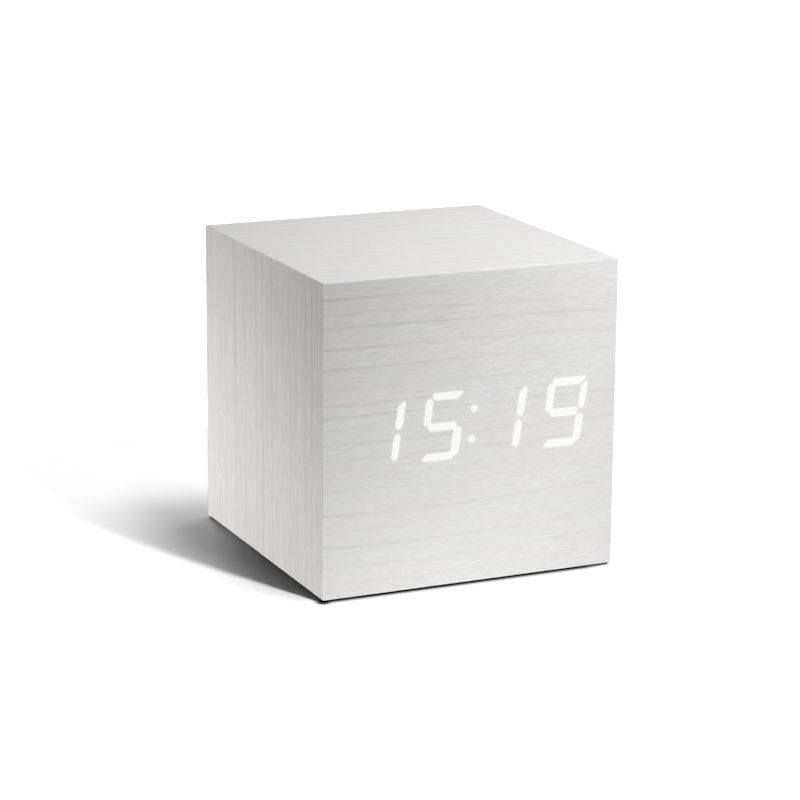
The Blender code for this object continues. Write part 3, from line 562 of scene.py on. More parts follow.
def flat_cable(name):
    g = Graph(name, rough=0.45, specular=0.4)
    x, y, z = split(g, g.coords())
    s = g.math("ABSOLUTE", g.math("SUBTRACT", g.math("FRACT", g.math("DIVIDE", x, 1.27)), 0.5))
    groove = g.range(s, 0.36, 0.48, 0.0, 1.0)
    n = g.noise(g.coords(), 1.0, 3.0, 0.6)
    col = g.mix(groove, (0.42, 0.42, 0.43), (0.22, 0.22, 0.23))
    first = g.math("LESS_THAN", g.math("ABSOLUTE", g.math("SUBTRACT", x, 3.5)), 0.5)
    col = g.mix(g.math("MULTIPLY", first, 0.85), col, (0.45, 0.05, 0.04))
    return g.set(color=col, rough=g.range(n, 0.3, 0.7, 0.38, 0.52),
                 normal=g.bump(g.math("SUBTRACT", 1.0, groove), 0.6, 0.12))


def film():
    g = Graph("light_diffuser", rough=0.4, specular=0.4)
    n = g.noise(g.coords(), 4.0, 3.0, 0.6)
    col = g.mix(g.range(n, 0.3, 0.7, 0.0, 1.0), (0.84, 0.84, 0.83), (0.90, 0.90, 0.90))
    return g.set(color=col, rough=g.range(n, 0.3, 0.7, 0.34, 0.48), normal=g.bump(n, 0.15, 0.02))


def lit_segment():
    """The lit part of a segment: nearly even white, faintly streaked by the veneer over it."""
    g = Graph("lit_segment_light", rough=0.6, specular=0.0)
    n = g.noise(g.coords((0.15, 1.0, 1.6)), 1.0, 2.0, 0.5)
    col = g.mix(g.range(n, 0.3, 0.7, 0.0, 1.0), (0.10, 0.10, 0.10), (0.13, 0.13, 0.128))
    g.set(color=col, rough=g.range(n, 0.3, 0.7, 0.55, 0.65))
    g.bsdf.inputs["Emission Color"].default_value = (1.0, 0.998, 0.992, 1.0)
    g.bsdf.inputs["Emission Strength"].default_value = LIT_LEVEL
    return g.mat


# ================================================================ materials
# year lines of the front face: mm below the top at the left edge, strength, width
FRONT_LINES = [(3.4, 0.78, 0.8), (6.6, 0.75, 0.9), (9.6, 0.95, 0.9), (13.95, 0.92, 0.8), (18.25, 0.75, 0.8),
               (22.5, 0.55, 0.8), (25.9, 0.65, 0.9), (28.4, 0.78, 0.8), (31.0, 0.35, 0.8), (34.2, 0.72, 0.9),
               (37.4, 0.78, 0.9), (41.2, 0.25, 0.8), (44.1, 0.38, 0.9), (49.2, 0.72, 1.0), (52.7, 0.25, 0.8),
               (56.1, 0.48, 1.1), (60.5, 0.58, 1.0), (64.1, 0.38, 0.9)]
# streaks of the folded sleeve, mm behind the front edge
SLEEVE_LINES = [(2.7, 0.30, 1.0), (5.6, 0.60, 1.2), (8.9, 0.72, 1.5), (13.9, 0.42, 1.0), (17.6, 0.52, 1.0),
                (22.0, 0.28, 0.9), (25.2, 0.22, 0.9), (27.9, 0.72, 1.1), (30.2, 0.40, 1.0), (33.1, 0.68, 1.2),
                (36.9, 0.62, 1.1), (44.0, 0.30, 1.0), (49.4, 0.72, 1.9), (55.6, 0.42, 1.1), (60.1, 0.50, 1.3),
                (64.0, 0.25, 1.0)]
REAR_LINES = [(2.4, 0.5, 1.0), (7.1, 0.7, 1.0), (11.8, 0.4, 0.9), (16.0, 0.8, 1.1), (21.7, 0.5, 0.9),
              (27.2, 0.7, 1.0), (33.9, 0.4, 0.9), (39.1, 0.8, 1.1), (44.2, 0.5, 1.0), (50.8, 0.6, 1.0),
              (55.3, 0.4, 0.9), (60.9, 0.7, 1.0)]

WOOD_FRONT = wood("veneer_front", FRONT_LINES, seed=1.7, fade_down=0.42, lead=(1.0, 0.48), lit=True)
WOOD_SLEEVE = wood("foil_sleeve", SLEEVE_LINES, base=(0.74, 0.7378, 0.7270), side=(0.744, 0.7355, 0.7205), seed=9.3, bowed=False,
                   wave=0.3, tint=0.85, bands=((0.40, 0.02, 0.02), (0.95, 0.035, 0.05), (1.9, 0.06, 0.22), (3.6, 0.20, 0.27)))
WOOD_REAR = wood("foil_rear", REAR_LINES, seed=5.1, tint=0.6, edge_lighten=0.0)
MDF = fibreboard()
BLACK = plastic("black_moulding", (0.017, 0.017, 0.019), 0.48, grain=0.45, scale=4.0, spec=0.28)
TRAY = plastic("tray_moulding", (0.017, 0.017, 0.018), 0.55, grain=0.5, scale=3.2, spec=0.30, dust=0.05)
KEY = plastic("key_plastic", (0.030, 0.030, 0.034), 0.40, grain=0.2, scale=5.0, spec=0.38, edge=0.35)
MARK = plastic("white_marking", (0.72, 0.72, 0.71), 0.55, grain=0.2, scale=4.0, edge=0.05)
WHITE = plastic("white_moulding", (0.74, 0.74, 0.73), 0.5, grain=0.3, scale=4.0, edge=0.1)
EPOXY = plastic("chip_moulding", (0.028, 0.028, 0.03), 0.5, grain=0.5, scale=7.0)
NICKEL = metal("nickel_plate", (0.42, 0.415, 0.40), 0.30)
GILT = metal("gilt_contact", (0.83, 0.62, 0.26), 0.30)
SPRING = metal("spring_plate", (0.50, 0.495, 0.475), 0.26, along=(3.0, 3.0, 0.6))
RUBBER = rubber("foot_rubber")
PCB_V = circuit("board_upright", "xz", 2.0)
PCB_H = circuit("board_flat", "xy", 7.0)
CELLS = banded_cell()
RED = insulation("wire_red", (0.50, 0.02, 0.015))
DARK = insulation("wire_black", (0.02, 0.02, 0.02))
RIBBON = flat_cable("ribbon_flat")
FILM = film()
LIT = lit_segment()

# ============================================================= grain layout


def even_normals(ob):
    """Keeps the large flat faces flat beside their rounded edges."""
    mod = ob.modifiers.new("even", "WEIGHTED_NORMAL")
    mod.weight = 80
    mod.keep_sharp = True


def set_grain(ob, rule):
    """Writes the attribute 'grain' for each face corner: mm along and across the grain, and
    how strongly it shows. rule(position in mm, face normal) gives the three."""
    me = ob.data
    att = me.attributes.get("grain") or me.attributes.new("grain", "FLOAT_VECTOR", "CORNER")
    data = np.zeros((len(me.loops), 3), np.float32)
    co = np.array([v.co for v in me.vertices]) * 1000.0
    for p in me.polygons:
        n = p.normal
        for li in p.loop_indices:
            data[li] = rule(co[me.loops[li].vertex_index], n)
    att.data.foreach_set("vector", data.ravel())


def sleeve_grain(c, n):
    """The sleeve's grain runs round the fold, and its lines lie front to back."""
    ax, az = abs(n.x), abs(n.z)
    depth = c[1] + 34.0
    if abs(n.y) > 0.8:
        # end grain of the folded edge: along whichever wall this is
        if abs(c[0]) > IX - 0.01 and (abs(c[0]) >= abs(c[2] - 34.0)):
            return c[2], 20.0 + abs(c[0]), 0.8
        return c[0] + 200.0, 20.0 + abs(c[2] - 34.0), 0.8
    if az > ax:
        side = 200.0 if n.z > 0 else 400.0
        return side + c[0], depth, 0.58
    side = 0.0 if n.x < 0 else 600.0
    return side + c[2], depth, 1.0


def front_grain(c, n):
    if abs(n.y) > 0.6:
        return c[0] + 34.0, 68.0 - c[2], 1.0
    if abs(n.z) > abs(n.x):
        return c[0] + 34.0, 68.0 - c[2] + (c[1] + 34.0), 1.0
    return c[0] + 34.0 + (c[1] + 34.0), 68.0 - c[2], 1.0


def rear_grain(c, n):
    return c[0] + 40.0, 68.0 - c[2] + 0.3 * (c[1] - 33.2), 1.0


# ================================================================ the case
# folded sleeve, with the battery cut-out and pockets of the CAD solid
FOOT_X, FOOT_Y, FOOT_R = 29.9, 28.5, 3.2
EAR_Y = (-12.0, 12.0)


def sleeve_body(bm):
    outline = round_rect(-HX, HX, Z0, Z1, 0.18, 4)
    inner = round_rect(-HX + 0.12, HX - 0.12, Z0 + 0.12, Z1 - 0.12, 0.1, 4)
    y0 = -HY + VENEER_T + SEAM
    add_loft(bm, [[(u, y0, v) for u, v in outline],
                  [(u, HY - 0.12, v) for u, v in outline],
                  [(u, HY, v) for u, v in inner]])


sleeve = make("case_sleeve_foiled", sleeve_body, WOOD_SLEEVE)
boolean(sleeve, lambda bm: add_box(bm, -IX, IX, -HY - 5, HY + 5, IZ0, IZ1))
boolean(sleeve, lambda bm: add_box(bm, -25.7, 25.7, -24.0, HY + 5, -2, IZ0 + 2))


def pockets(bm):
    for s in (-1, 1):
        for y in EAR_Y:
            x0, x1 = sorted((s * 25.0, s * 32.3))
            add_prism(bm, round_rect(x0, x1, y - 4.0, y + 4.0, 1.0, 4), "z", -2, Z0 + 1.7)


def drilled(bm):
    for sx in (-1, 1):
        for y in EAR_Y:
            add_turned(bm, [(1.3, Z0 + 1), (1.3, IZ0 + 2)], sx * 28.9, y, "z", 24)
        for sy in (-1, 1):
            add_turned(bm, [(FOOT_R + 0.3, -2), (FOOT_R + 0.3, Z0 + 1.3)], sx * FOOT_X, sy * FOOT_Y, "z", 40)


boolean(sleeve, pockets)
boolean(sleeve, drilled)
sleeve.data.shade_smooth()
sleeve.data.set_sharp_from_angle(angle=math.radians(35))
set_grain(sleeve, sleeve_grain)
even_normals(sleeve)
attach(sleeve, "clock")
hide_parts("case_sleeve")

# ---- digits ---------------------------------------------------------------
H = DIGIT_H
SEGMENTS = {
    "a": [(0.30, H), (8.10, H), (6.35, H - 1.72), (1.00, H - 1.72), (0.20, H - 0.85)],
    "b": [(8.56, H - 0.45), (8.48, 8.45), (7.82, 7.78), (7.00, 8.50), (7.04, H - 2.00)],
    "c": [(7.70, 7.20), (8.48, 6.30), (8.48, 1.60), (7.80, 0.80), (6.82, 1.65), (6.88, 6.45)],
    "d": [(-0.30, 0.00), (0.85, 1.72), (6.80, 1.70), (7.47, 0.80), (7.08, 0.00)],
    "e": [(0.00, 7.20), (0.80, 6.30), (0.80, 1.60), (-0.15, 0.80), (-0.85, 1.60), (-0.80, 6.30)],
    "f": [(-0.20, H - 1.00), (0.82, H - 1.75), (0.86, 8.35), (0.00, 7.82), (-0.80, 8.45), (-0.84, H - 1.75)],
    "g": [(0.25, 7.50), (0.93, 8.33), (6.60, 8.33), (7.17, 7.60), (6.65, 6.60), (0.97, 6.60)],
}


def slanted(pts, x0, z0, kx=1.0, kz=1.0):
    return [(x0 + u * kx + v * kz * SLANT, z0 + v * kz) for u, v in pts]


def stroke(seg, moves):
    """A segment's outline with its sides and ends moved by the mm given."""
    pts = SEGMENTS[seg]
    across = 1 if seg in "adg" else 0
    mid = [(min(p[k] for p in pts) + max(p[k] for p in pts)) / 2 for k in (0, 1)]
    out = []
    for p in pts:
        q = list(p)
        if abs(p[across] - mid[across]) > 0.25:
            q[across] += moves[0] if p[across] < mid[across] else moves[1]
        along = 1 - across
        q[along] += moves[2] if p[along] < mid[along] else moves[3]
        out.append(tuple(q))
    return out


def ccw(pts):
    area = sum(a[0] * b[1] - b[0] * a[1] for a, b in zip(pts, pts[1:] + pts[:1]))
    return pts if area > 0 else pts[::-1]


def inset(pts, d):
    """Moves each side of a convex outline inwards by d."""
    pts = ccw(pts)
    n = len(pts)
    lines = []
    for i in range(n):
        (x0, y0), (x1, y1) = pts[i], pts[(i + 1) % n]
        L = math.hypot(x1 - x0, y1 - y0)
        nx, ny = -(y1 - y0) / L, (x1 - x0) / L
        lines.append((nx, ny, nx * x0 + ny * y0 + d))
    out = []
    for i in range(n):
        a1, b1, c1 = lines[i - 1]
        a2, b2, c2 = lines[i]
        det = a1 * b2 - a2 * b1
        out.append(((c1 * b2 - c2 * b1) / det, (a1 * c2 - a2 * c1) / det))
    return out


def grown(pts, r, steps=5):
    """Convex outline with every side moved out by r and round corners."""
    pts = ccw(pts)
    n = len(pts)
    out = []
    for i in range(n):
        p, q, s = pts[i - 1], pts[i], pts[(i + 1) % n]
        a0 = math.atan2(q[1] - p[1], q[0] - p[0]) - math.pi / 2
        a1 = math.atan2(s[1] - q[1], s[0] - q[0]) - math.pi / 2
        while a1 < a0:
            a1 += 2 * math.pi
        for k in range(steps + 1):
            a = a0 + (a1 - a0) * k / steps
            out.append((q[0] + r * math.cos(a), q[1] + r * math.sin(a)))
    return out


CORNER = 0.38      # rounding of a segment's corners
SOFT = 0.27        # its light fades over this much on either side of the outline
lit_outlines = []       # (digit number, sharp core outline)
for d, (x0, z0, kx, kz, segs) in enumerate(DIGITS):
    for s in segs:
        pts = stroke(s, STROKES.get((d, s), (0.0, 0.0, 0.0, 0.0)))
        lit_outlines.append((d, inset(slanted(pts, x0, z0, kx, kz), CORNER)))


def gap(p, a, b):
    """Distance from p to the straight line between a and b."""
    dx, dy = b[0] - a[0], b[1] - a[1]
    t = max(0.0, min(1.0, ((p[0] - a[0]) * dx + (p[1] - a[1]) * dy) / (dx * dx + dy * dy)))
    return math.hypot(p[0] - a[0] - t * dx, p[1] - a[1] - t * dy)


def light_at(x, z):
    """How much light comes through the veneer at a point of its face, 0 to 1."""
    total = 0.0
    for _, core in lit_outlines:
        if min(p[0] for p in core) - 1 < x < max(p[0] for p in core) + 1 and \
                min(p[1] for p in core) - 1 < z < max(p[1] for p in core) + 1:
            pts = ccw(core)
            sides = list(zip(pts, pts[1:] + pts[:1]))
            inside = all((b[0] - a[0]) * (z - a[1]) - (b[1] - a[1]) * (x - a[0]) >= 0 for a, b in sides)
            d = 0.0 if inside else min(gap((x, z), a, b) for a, b in sides)
            total += max(0.0, min(1.0, 0.5 - (d - CORNER) / (2 * SOFT)))
    for u, v in COLON:
        total += max(0.0, min(1.0, 0.5 - (math.hypot(x - u, z - v) - COLON_R) / (2 * SOFT)))
    return min(1.0, total)


def veneer_mesh():
    """Front veneer. Its face holds the outline of every lit segment, with the attribute
    'glow' falling from 1 on the segment to 0 a little way outside it."""
    bm = bmesh.new()
    layer = bm.verts.layers.float.new("glow")
    r = 0.18
    n = 4
    y_back = -HY + VENEER_T
    rings = []
    for k in range(n + 1):
        a = math.radians(90 * k / n)
        ins = r * (1 - math.sin(a))
        y = FACE_Y + r * (1 - math.cos(a))
        # k = 0: on the face, inset by r; k = n: full outline, r behind the face
        pts = round_rect(-HX + ins, HX - ins, Z0 + ins, Z1 - ins, max(0.2 - ins, 0.06), 4)
        rings.append([bm.verts.new((u, y, v)) for u, v in pts])
    pts = round_rect(-HX, HX, Z0, Z1, 0.2, 4)
    rings.append([bm.verts.new((u, y_back, v)) for u, v in pts])
    for a, b in zip(rings, rings[1:]):
        for i in range(len(a)):
            j = (i + 1) % len(a)
            bm.faces.new((a[i], a[j], b[j], b[i]))
    bm.faces.new(list(reversed(rings[-1])))

    # the flat face, cut along the glow outlines
    border = [(v.co.x, v.co.z) for v in rings[0]]
    points, edges = list(border), []
    edges += [(i, (i + 1) % len(border)) for i in range(len(border))]

    def loop(outline):
        start = len(points)
        points.extend(outline)
        edges.extend((start + i, start + (i + 1) % len(outline)) for i in range(len(outline)))

    for _, core in lit_outlines:
        loop(grown(core, CORNER - SOFT))
        loop(grown(core, CORNER + SOFT))
    for x, z in COLON:
        loop(circle(x, z, COLON_R - SOFT, 28))
        loop(circle(x, z, COLON_R + SOFT, 28))
    # a light grid keeps the rest of the face in well-shaped triangles
    for i in range(1, 17):
        for j in range(1, 17):
            x, z = -HX + i * 4.0, Z0 + 0.2 + j * 3.95
            if -28.5 < x < 29.0 and 26.8 < z < 44.4:
                continue
            points.append((x, z))
    verts, _, faces, orig, _, _ = geometry.delaunay_2d_cdt([Vector(p) for p in points], edges, [], 0, 1e-5)
    made = []
    for k, co in enumerate(verts):
        src = orig[k][0] if orig[k] else None
        if src is not None and src < len(border):
            made.append(rings[0][src])
            continue
        v = bm.verts.new((co.x, FACE_Y, co.y))
        v[layer] = light_at(co.x, co.y)
        made.append(v)
    for f in faces:
        try:
            bm.faces.new([made[i] for i in f])
        except ValueError:
            pass
    bmesh.ops.recalc_face_normals(bm, faces=bm.faces)
    for v in bm.verts:
        v.co = v.co * MM
    me = bpy.data.meshes.new("front_veneer_face")
    bm.to_mesh(me)
    bm.free()
    me.shade_smooth()
    me.set_sharp_from_angle(angle=math.radians(50))
    return me


veneer = link(bpy.data.objects.new("front_veneer_face", veneer_mesh()))
veneer.data.materials.append(WOOD_FRONT)
set_grain(veneer, front_grain)
even_normals(veneer)
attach(veneer, "clock")
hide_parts("front_veneer")

def light_plate(bm, outline):
    y = -HY
    add_loft(bm, [[(u, y, v) for u, v in outline], [(u, -HY + 0.05, v) for u, v in outline]])


for d in range(4):
    def build(bm, d=d):
        for k, core in lit_outlines:
            if k == d:
                light_plate(bm, grown(core, CORNER - SOFT - 0.04))
    ob = make("lit_digit_%d" % (d + 1), build, LIT, smooth=False)
    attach(ob, "clock")


def colon(bm):
    for x, z in COLON:
        light_plate(bm, circle(x, z, COLON_R - SOFT - 0.04, 28))


ob = make("lit_colon", colon, LIT, smooth=False)
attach(ob, "clock")

# ============================================================ rear and controls
RP_Y0, RP_Y1 = 29.2, 33.2
PL_Y0, PL_Y1 = 31.6, 33.1
PANEL_Z = 48.0
PLATE_HX, PLATE_HZ = 28.0, 8.0
PLATE_SCREW_X = 26.5
BOSS_X, BOSS_R = 22.4, 2.2
KEYS = (("set", 7.2), ("up", 0.0), ("down", -7.2))
KEY_R = 2.8
SWITCH_X = 15.2
KNOB_X = 14.2
SOCKET_X = -15.5
BUZZ = (16.0, 27.0)
MIC_Z = 60.2


def rect_outline(x0, x1, z0, z1, r, grow=0.0, steps=4):
    return round_rect(x0 - grow, x1 + grow, z0 - grow, z1 + grow, max(r + grow, 0.05), steps)


def add_mouth(bm, x0, x1, z0, z1, r, y_in, y_face, lip, steps=4):
    """A cutter for an opening with softly rounded lips, from y_in out through y_face."""
    rows = [(0.0, y_in), (0.0, y_face - lip)]
    for k in range(1, 4):
        a = math.radians(30 * k)
        rows.append((lip * (1 - math.cos(a)), y_face - lip + lip * math.sin(a)))
    rows.append((lip, y_face + 1.0))
    add_loft(bm, [[(u, y, v) for u, v in rect_outline(x0, x1, z0, z1, r, d, steps)] for d, y in rows])


def add_round_mouth(bm, x, z, r, y_in, y_face, lip, n=40):
    rows = [(r, y_in), (r, y_face - lip)]
    for k in range(1, 4):
        a = math.radians(30 * k)
        rows.append((r + lip * (1 - math.cos(a)), y_face - lip + lip * math.sin(a)))
    rows.append((r + lip, y_face + 1.0))
    add_turned(bm, rows, x, z, "y", n)


def panel_body(bm):
    r = 0.25
    rows = [(0.0, RP_Y0), (0.0, RP_Y1 - r)]
    for k in range(1, 4):
        a = math.radians(30 * k)
        rows.append((-r * (1 - math.cos(a)), RP_Y1 - r + r * math.sin(a)))
    add_loft(bm, [[(u, y, v) for u, v in rect_outline(-30.2, 30.2, 4.3, 64.2, 0.4, d)] for d, y in rows])


panel = make("rear_panel_foiled", panel_body, WOOD_REAR)
boolean(panel, lambda bm: add_mouth(bm, -28.3, 28.3, 39.7, 56.3, 3.0, PL_Y0 - 0.3, RP_Y1, 0.15, 8))
boolean(panel, lambda bm: add_box(bm, -25.0, 25.0, RP_Y0 - 2, PL_Y0 + 0.2, PANEL_Z - 6.2, PANEL_Z + 6.2))


def panel_holes(bm):
    for side in (-1, 1):
        add_turned(bm, [(1.0, PL_Y0 - 2.2), (1.0, PL_Y0 + 0.7)], side * PLATE_SCREW_X, PANEL_Z, "y", 24)
    add_round_mouth(bm, 0.0, MIC_Z, 0.6, RP_Y0 - 2, RP_Y1, 0.15, 28)
    add_round_mouth(bm, BUZZ[0], BUZZ[1], 0.7, RP_Y0 - 2, RP_Y1, 0.15, 28)
    for k in range(6):
        a = math.radians(60 * k)
        add_round_mouth(bm, BUZZ[0] + 3.0 * math.cos(a), BUZZ[1] + 3.0 * math.sin(a), 0.7, RP_Y0 - 2, RP_Y1, 0.15, 28)


boolean(panel, panel_holes)
panel.data.shade_smooth()
panel.data.set_sharp_from_angle(angle=math.radians(40))
set_grain(panel, rear_grain)
even_normals(panel)
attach(panel, "clock")
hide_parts("rear_panel")

# ---- control plate: soft edges and lips round the openings
SLOT_X = 1.5 + 1.0 + 0.3


def plate_body(bm):
    r = 0.35
    rows = [(-0.1, PL_Y0), (0.0, PL_Y0 + 0.1), (0.0, PL_Y1 - r)]
    for k in range(1, 5):
        a = math.radians(22.5 * k)
        rows.append((-r * (1 - math.cos(a)), PL_Y1 - r + r * math.sin(a)))
    add_loft(bm, [[(u, y, v) for u, v in rect_outline(
        -PLATE_HX, PLATE_HX, PANEL_Z - PLATE_HZ, PANEL_Z + PLATE_HZ, 2.7, d, 8)] for d, y in rows])


def plate_bosses(bm):
    for side in (-1, 1):
        add_turned(bm, [(BOSS_R, 24.8), (BOSS_R, PL_Y0 + 0.5)], side * BOSS_X, PANEL_Z, "y", 32)


def plate_openings(bm):
    for _, x in KEYS:
        add_round_mouth(bm, x, PANEL_Z, KEY_R + 0.3, PL_Y0 - 1, PL_Y1, 0.30, 56)
    add_mouth(bm, SWITCH_X - SLOT_X, SWITCH_X + SLOT_X, PANEL_Z - 1.3, PANEL_Z + 1.3, 0.4, PL_Y0 - 1, PL_Y1, 0.25)
    add_mouth(bm, SOCKET_X - 4.2, SOCKET_X + 4.2, PANEL_Z - 2.3, PANEL_Z + 2.3, 0.6, PL_Y0 - 1, PL_Y1, 0.30)
    for side in (-1, 1):
        add_turned(bm, [(1.1, PL_Y0 - 1), (1.1, PL_Y1 - 0.9), (2.0, PL_Y1), (2.05, PL_Y1 + 1)],
                   side * PLATE_SCREW_X, PANEL_Z, "y", 40)
        add_turned(bm, [(1.1, 24.0), (1.1, 29.5)], side * BOSS_X, PANEL_Z, "y", 24)


plate = make("control_plate_moulded", plate_body, BLACK)
boolean(plate, plate_bosses, "UNION")
boolean(plate, plate_openings)
plate.data.shade_smooth()
plate.data.set_sharp_from_angle(angle=math.radians(40))
even_normals(plate)
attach(plate, "clock")
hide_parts("control_plate")

# ---- printed marks on the plate. Seen from behind, +X is on the left.
MARK_Y0, MARK_Y1 = PL_Y1 - 0.05, PL_Y1 + 0.02


def add_mark(bm, pts, x, z):
    """A flat mark; pts are mm to the right and up as seen from behind."""
    outline = [(x - u, z + v) for u, v in pts]
    add_prism(bm, ccw(outline), "y", MARK_Y0, MARK_Y1)


def add_ring_mark(bm, outer, inner, x, z):
    rows = [(outer, MARK_Y0), (outer, MARK_Y1), (inner, MARK_Y1), (inner, MARK_Y0)]
    rings = [[bm.verts.new((x - u, y, z + v)) for u, v in pts] for pts, y in rows]
    n = len(rings[0])
    for a, b in zip(rings, rings[1:] + rings[:1]):
        for i in range(n):
            j = (i + 1) % n
            bm.faces.new((a[i], a[j], b[j], b[i]))


def bar(w, h, x=0.0, y=0.0):
    return [(x - w / 2, y - h / 2), (x + w / 2, y - h / 2), (x + w / 2, y + h / 2), (x - w / 2, y + h / 2)]


def marks(bm):
    z = PANEL_Z - 5.2
    # set: a clock dial with two hands
    add_ring_mark(bm, circle(0, 0, 1.05, 36), circle(0, 0, 0.83, 36), KEYS[0][1], z)
    add_mark(bm, [(-0.09, -0.09), (0.50, -0.09), (0.50, 0.09), (0.09, 0.09), (0.09, 0.62), (-0.09, 0.62)], KEYS[0][1], z)
    # up and down
    add_mark(bm, [(-0.95, -0.62), (0.95, -0.62), (0.0, 0.85)], KEYS[1][1], z)
    add_mark(bm, [(-0.95, 0.62), (0.0, -0.85), (0.95, 0.62)], KEYS[2][1], z)
    # ON and OFF beside the ends of the switch's travel, 1.5 mm high
    h, w, t = 1.5, 1.05, 0.24

    def letter(kind, x, zz):
        if kind == "O":
            outer = [(px, py) for px, py in round_rect(0, w, 0, h, 0.42, 5)]
            inner = [(px, py) for px, py in round_rect(t, w - t, t, h - t, 0.24, 5)]
            add_ring_mark(bm, outer, inner, x, zz)
        elif kind == "N":
            add_mark(bm, [(0, 0), (t, 0), (t, h - 0.52), (w - t, 0), (w, 0), (w, h), (w - t, h), (w - t, 0.52), (t, h), (0, h)], x, zz)
        else:
            add_mark(bm, [(0, 0), (t, 0), (t, 0.62), (w - 0.15, 0.62), (w - 0.15, 0.86), (t, 0.86),
                          (t, h - t), (w, h - t), (w, h), (0, h)], x, zz)

    zz = PANEL_Z + 2.7
    for k, c in enumerate("OFF"):
        letter(c, 18.5 - 1.3 * k, zz)
    zz = PANEL_Z + 2.7
    for k, c in enumerate("ON"):
        letter(c, 14.0 - 1.3 * k, zz)
    # direct current at the socket: a line over three dashes
    z = PANEL_Z + 4.6
    add_mark(bm, bar(2.7, 0.24, 0.0, 0.38), SOCKET_X, z)
    for k in (-1, 0, 1):
        add_mark(bm, bar(0.62, 0.24, 1.04 * k, -0.22), SOCKET_X, z)


ob = make("control_marks", marks, MARK, smooth=False)
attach(ob, "clock")

# ---- keys: round-edged, with a fingertip dish and a raised sign
KEY_BODY = {"set": "set_key", "up": "up_key", "down": "down_key"}
DISH = [(3.28, 30.10), (3.4, 30.22), (3.4, 31.18), (3.28, 31.30), (2.84, 31.30), (2.8, 31.36), (2.8, 33.42), (2.78, 33.56),
        (2.71, 33.70), (2.59, 33.81), (2.44, 33.87), (2.28, 33.89), (2.12, 33.88), (1.9, 33.83), (1.5, 33.76), (1.0, 33.71),
        (0.5, 33.685), (0.06, 33.68)]


def key_sign(bm, kind, x):
    lo, hi = 33.45, 33.80
    if kind == "set":
        add_turned(bm, [(0.62, lo), (0.62, hi - 0.06), (0.56, hi)], x, PANEL_Z, "y", 32)
        return
    way = 1 if kind == "up" else -1
    tri = [(-0.95, -0.60 * way), (0.95, -0.60 * way), (0.0, 0.95 * way)]
    levels = []
    for d, y in ((0.0, lo), (0.0, hi - 0.06), (0.06, hi)):
        levels.append([(x + u, y, PANEL_Z + v) for u, v in inset(tri, d)])
    add_loft(bm, levels)


for kind, x in KEYS:
    ob = make(kind + "_key_cap", lambda bm: add_turned(bm, DISH, x, PANEL_Z, "y", 72), KEY)
    boolean(ob, lambda bm: key_sign(bm, kind, x), "UNION")
    ob.data.shade_smooth()
    ob.data.set_sharp_from_angle(angle=math.radians(40))
    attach(ob, KEY_BODY[kind])
    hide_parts(kind + "_button")


# ---- sound switch knob with three grip grooves
def knob_body(bm):
    rows = ((1.7, 1.4, 0.1, 26.0), (1.7, 1.4, 0.1, 27.7), (1.1, 0.8, 0.1, 27.7), (1.1, 0.8, 0.1, 31.0), (1.42, 0.92, 0.2, 31.0),
            (1.5, 1.0, 0.25, 31.08), (1.5, 1.0, 0.25, 33.5), (1.47, 0.97, 0.25, 33.66), (1.38, 0.88, 0.2, 33.76), (1.25, 0.75, 0.15, 33.8))
    add_loft(bm, [[(u, y, v) for u, v in round_rect(KNOB_X - hx, KNOB_X + hx, PANEL_Z - hz, PANEL_Z + hz, r, 4)]
                  for hx, hz, r, y in rows])


def knob_grooves(bm):
    for k in (-1, 0, 1):
        x = KNOB_X + 0.72 * k
        add_prism(bm, [(x - 0.10, 33.45), (x + 0.10, 33.45), (x + 0.20, 34.2), (x - 0.20, 34.2)], "z", PANEL_Z - 2, PANEL_Z + 2)


ob = make("sound_switch_knob_ribbed", knob_body, KEY)
boolean(ob, knob_grooves)
ob.data.shade_smooth()
ob.data.set_sharp_from_angle(angle=math.radians(40))
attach(ob, "sound_slider")
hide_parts("sound_switch_knob")


# ---- screws with a cross recess in the head
def add_blade(bm, x, y, z, axis, face, depth, size, turn):
    """A cutter for one slot of the recess: a tapered blade going depth into the head from face."""
    out = 1.0 if depth < 0 else -1.0
    a = math.radians(turn + 20.0)
    ca, sa = math.cos(a), math.sin(a)
    rows = []
    for w, l, h in ((0.10, 0.45 * size, face + depth), (0.17, size, face), (0.18, size * 1.05, face + 0.5 * out)):
        rows.append([place(x + u * ca - v * sa, (z if axis == "y" else y) + u * sa + v * ca, h, axis)
                     for u, v in ((-l, -w), (l, -w), (l, w), (-l, w))])
    add_loft(bm, rows)


def cross_screw(name, node, profile, x, y, z, axis, face, depth, size, n=40):
    cu, cv = (x, z) if axis == "y" else (x, y)
    piece = make(name, lambda bm: add_turned(bm, profile, cu, cv, axis, n), NICKEL)
    for turn in (0.0, 90.0):
        boolean(piece, lambda bm: add_blade(bm, x, y, z, axis, face, depth, size, turn))
    piece.data.shade_smooth()
    piece.data.set_sharp_from_angle(angle=math.radians(40))
    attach(piece, "clock")
    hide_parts(node)


for i, side in enumerate((-1, 1)):
    cross_screw("plate_screw_cross_%d" % (i + 1), "plate_screw_%d" % (i + 1),
                [(0.15, 29.6), (0.7, 30.15), (0.7, 32.1), (1.60, 32.98), (1.60, 33.03), (1.52, 33.08), (1.35, 33.10)],
                side * PLATE_SCREW_X, 0, PANEL_Z, "y", 33.10, -0.55, 0.85)
n = 0
for side in (-1, 1):
    for y in EAR_Y:
        n += 1
        cross_screw("tray_screw_cross_%d" % n, "tray_screw_%d" % n,
                    [(1.60, 0.70), (1.72, 0.74), (1.75, 0.85), (1.0, 1.60), (1.0, 3.6), (0.6, 4.1)],
                    side * 28.9, y, 0, "z", 0.70, 0.5, 0.85)


